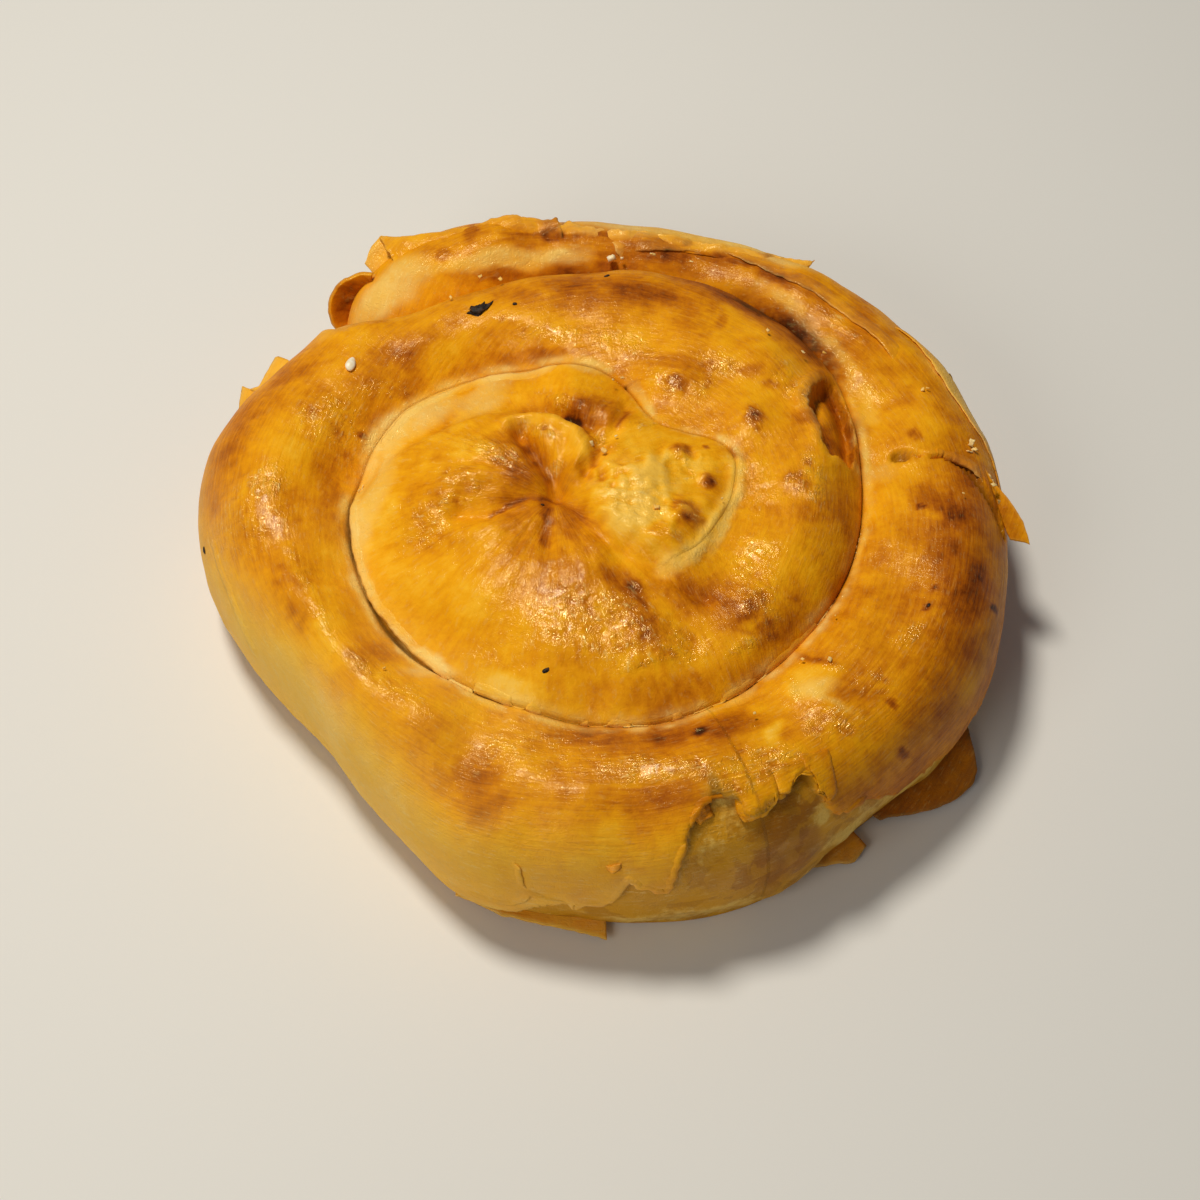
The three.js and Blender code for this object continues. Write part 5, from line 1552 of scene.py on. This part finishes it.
def scattered(name, tree, lines, per_mm, spread, sizes, seed, finish):
    """Flakes strewn along lines on the crust, as one plain mesh.

    Known fault: `transform` reads a plain tuple column by column, so it scales the flakes to metres
    but doesn't move them by COIL_CENTRE. Most lie buried in the crust, and a few stand off it.
    """
    draw = np.random.default_rng(seed)
    spots = []
    for line in lines:
        run = evened(line, 0.2)
        chosen = run[draw.integers(0, len(run), int(len(run) * 0.2 * per_mm))]
        spots.append(chosen + draw.normal(0, spread, chosen.shape) * (1, 1, 0.3))
    spots, normals = skin_at(np.vstack(spots))
    places = make_mesh(name, spots + normals * 0.02, [])
    facing = places.attributes.new("facing", "FLOAT_VECTOR", "POINT")
    facing.data.foreach_set("vector", normals.ravel().astype(np.float32))
    give_field(places, "size", draw.uniform(0.5, 1.2, len(spots)) ** 1.5)
    item = new_item(name, places)
    tree.grow(item, {**sizes, "Seed": seed, "Finish": finish})
    item.data.transform(((MM, 0, 0, COIL_CENTRE[0] * MM), (0, MM, 0, COIL_CENTRE[1] * MM), (0, 0, MM, 0), (0, 0, 0, 1)))
    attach(item, "root")
    return item


def flake_material():
    material, tree = shader_tree("pastry flakes")
    cloud = noise(tree, 260.0, 3.0)
    fine = noise(tree, 1300.0, 3.0)
    colour = mixed(tree, tree.ease(0.4, 0.62, cloud), (0.92, 0.52, 0.10), (0.98, 0.76, 0.34))
    colour = mixed(tree, tree.ease(0.5, 0.7, fine) * 0.5, colour, (1.0, 0.84, 0.50))
    bump = tree.node("ShaderNodeBump", {}, {"Strength": 0.8, "Distance": 1.0, "Height": fine * 0.0002})
    surface(tree, Base_Color=colour, Roughness=0.4 + fine * 0.3, Specular_IOR_Level=0.5,
            Specular_Tint=(*OILY_TINT, 1), Normal=bump)
    return material


def cheese_material():
    material, tree = shader_tree("cheese crumbs")
    cloud = noise(tree, 500.0, 3.0)
    colour = mixed(tree, tree.ease(0.4, 0.65, cloud), (0.93, 0.72, 0.36), (0.98, 0.88, 0.62))
    bump = tree.node("ShaderNodeBump", {}, {"Strength": 0.8, "Distance": 1.0, "Height": cloud * 0.0003})
    surface(tree, Base_Color=colour, Roughness=0.35 + cloud * 0.3, Specular_IOR_Level=0.5, Normal=bump)
    return material


flakes = scatter_tree()
flake_finish = flake_material()
scattered("seam_flakes", flakes, [seam_stretch(24, 90), seam_stretch(178, 252), seam_stretch(335, 385)],
          0.7, 0.5, {"Length": 0.9, "Width": 0.5, "Thickness": 0.08, "Unevenness": 0.2}, 4, flake_finish)
scattered("tear_flakes", flakes, [TORN_LIPS[0], TORN_LIPS[1], TORN_LIPS[2], [(24, -68, 33), (42, -64, 30)], CRACK_RUN],
          0.5, 0.8, {"Length": 1.2, "Width": 0.8, "Thickness": 0.16, "Unevenness": 0.35}, 9, flake_finish)
scattered("crust_crumbs", flakes, [
    [(-60, 20, 38), (-20, 45, 40), (20, 50, 40), (60, 20, 38), (60, -20, 38), (20, -60, 38), (-40, -40, 38)],
    [(-20, 0, 44), (10, -10, 44), (0, 20, 44), (30, -30, 42)], [(16, -76, 20), (36, -70, 14), (20, -74, 8)],
], 0.09, 7, {"Length": 0.9, "Width": 0.7, "Thickness": 0.25, "Unevenness": 0.3}, 15, flake_finish)
scattered("cheese_crumbs", flakes, [[(-6, 70.6, 36), (-1, 69.4, 36), (4, 69.8, 36)], [(-11, 69.4, 36), (-7, 68.6, 36)]],
          4, 1.0, {"Length": 1.9, "Width": 1.5, "Thickness": 1.1, "Unevenness": 0.4}, 21, cheese_material())

# ---- Floor, lights and camera ----

floor_mesh = make_mesh("floor", [(-3, -3, 0), (3, -3, 0), (3, 3, 0), (-3, 3, 0)], [(0, 1, 2, 3)])
floor = new_item("floor", floor_mesh)
floor_finish, floor_tree = shader_tree("pale floor")
floor_tree.node("ShaderNodeOutputMaterial", {}, {"Surface": floor_tree.node(
    "ShaderNodeBsdfPrincipled", {}, {"Base Color": (0.8, 0.79, 0.77, 1), "Roughness": 0.7})})
floor_mesh.materials.append(floor_finish)


def soft_light(name, at, aim, size, power, colour=(1, 1, 1)):
    data = bpy.data.lights.new(name, "AREA")
    data.shape = "DISK"
    data.size = size
    data.energy = power
    data.color = colour
    item = new_item(name, data)
    item.location = at
    item.rotation_euler = (Vector(aim) - Vector(at)).to_track_quat("-Z", "Y").to_euler()


soft_light("window light", (-0.22, 0.22, 0.84), (0, 0, 0.03), 0.2, 5.5, (1, 0.94, 0.82))
soft_light("left light", (-0.46, -0.56, 0.5), (-0.02, 0, 0.03), 0.45, 1.85, (1, 0.94, 0.82))

world = bpy.data.worlds.new("studio")
world.use_nodes = True
world.node_tree.nodes["Background"].inputs["Color"].default_value = (0.9, 0.95, 1, 1)
world.node_tree.nodes["Background"].inputs["Strength"].default_value = 0.1
bpy.context.scene.world = world
bpy.context.scene.view_settings.view_transform = "Standard"

# The photograph's view, as estimated: 400 mm away, 54 degrees above the table, a little off its middle.
CAMERA_TARGET = (-1.85, -7.16, 20)
CAMERA_ELEVATION = math.radians(54)
CAMERA_DISTANCE = 400
TARGET_ABOVE_MIDDLE = 40
FRAME_WIDTH = 1200
LENS = 58.54

camera_data = bpy.data.cameras.new("photo camera")
camera_data.lens = LENS
camera_data.sensor_width = 36
camera_data.shift_y = -TARGET_ABOVE_MIDDLE / FRAME_WIDTH
camera_data.clip_start = 0.01
camera = new_item("photo camera", camera_data)
camera.location = [
    CAMERA_TARGET[0] * MM,
    (CAMERA_TARGET[1] - CAMERA_DISTANCE * math.cos(CAMERA_ELEVATION)) * MM,
    (CAMERA_TARGET[2] + CAMERA_DISTANCE * math.sin(CAMERA_ELEVATION)) * MM,
]
camera.rotation_euler = (math.pi / 2 - CAMERA_ELEVATION, 0, 0)
bpy.context.scene.camera = camera
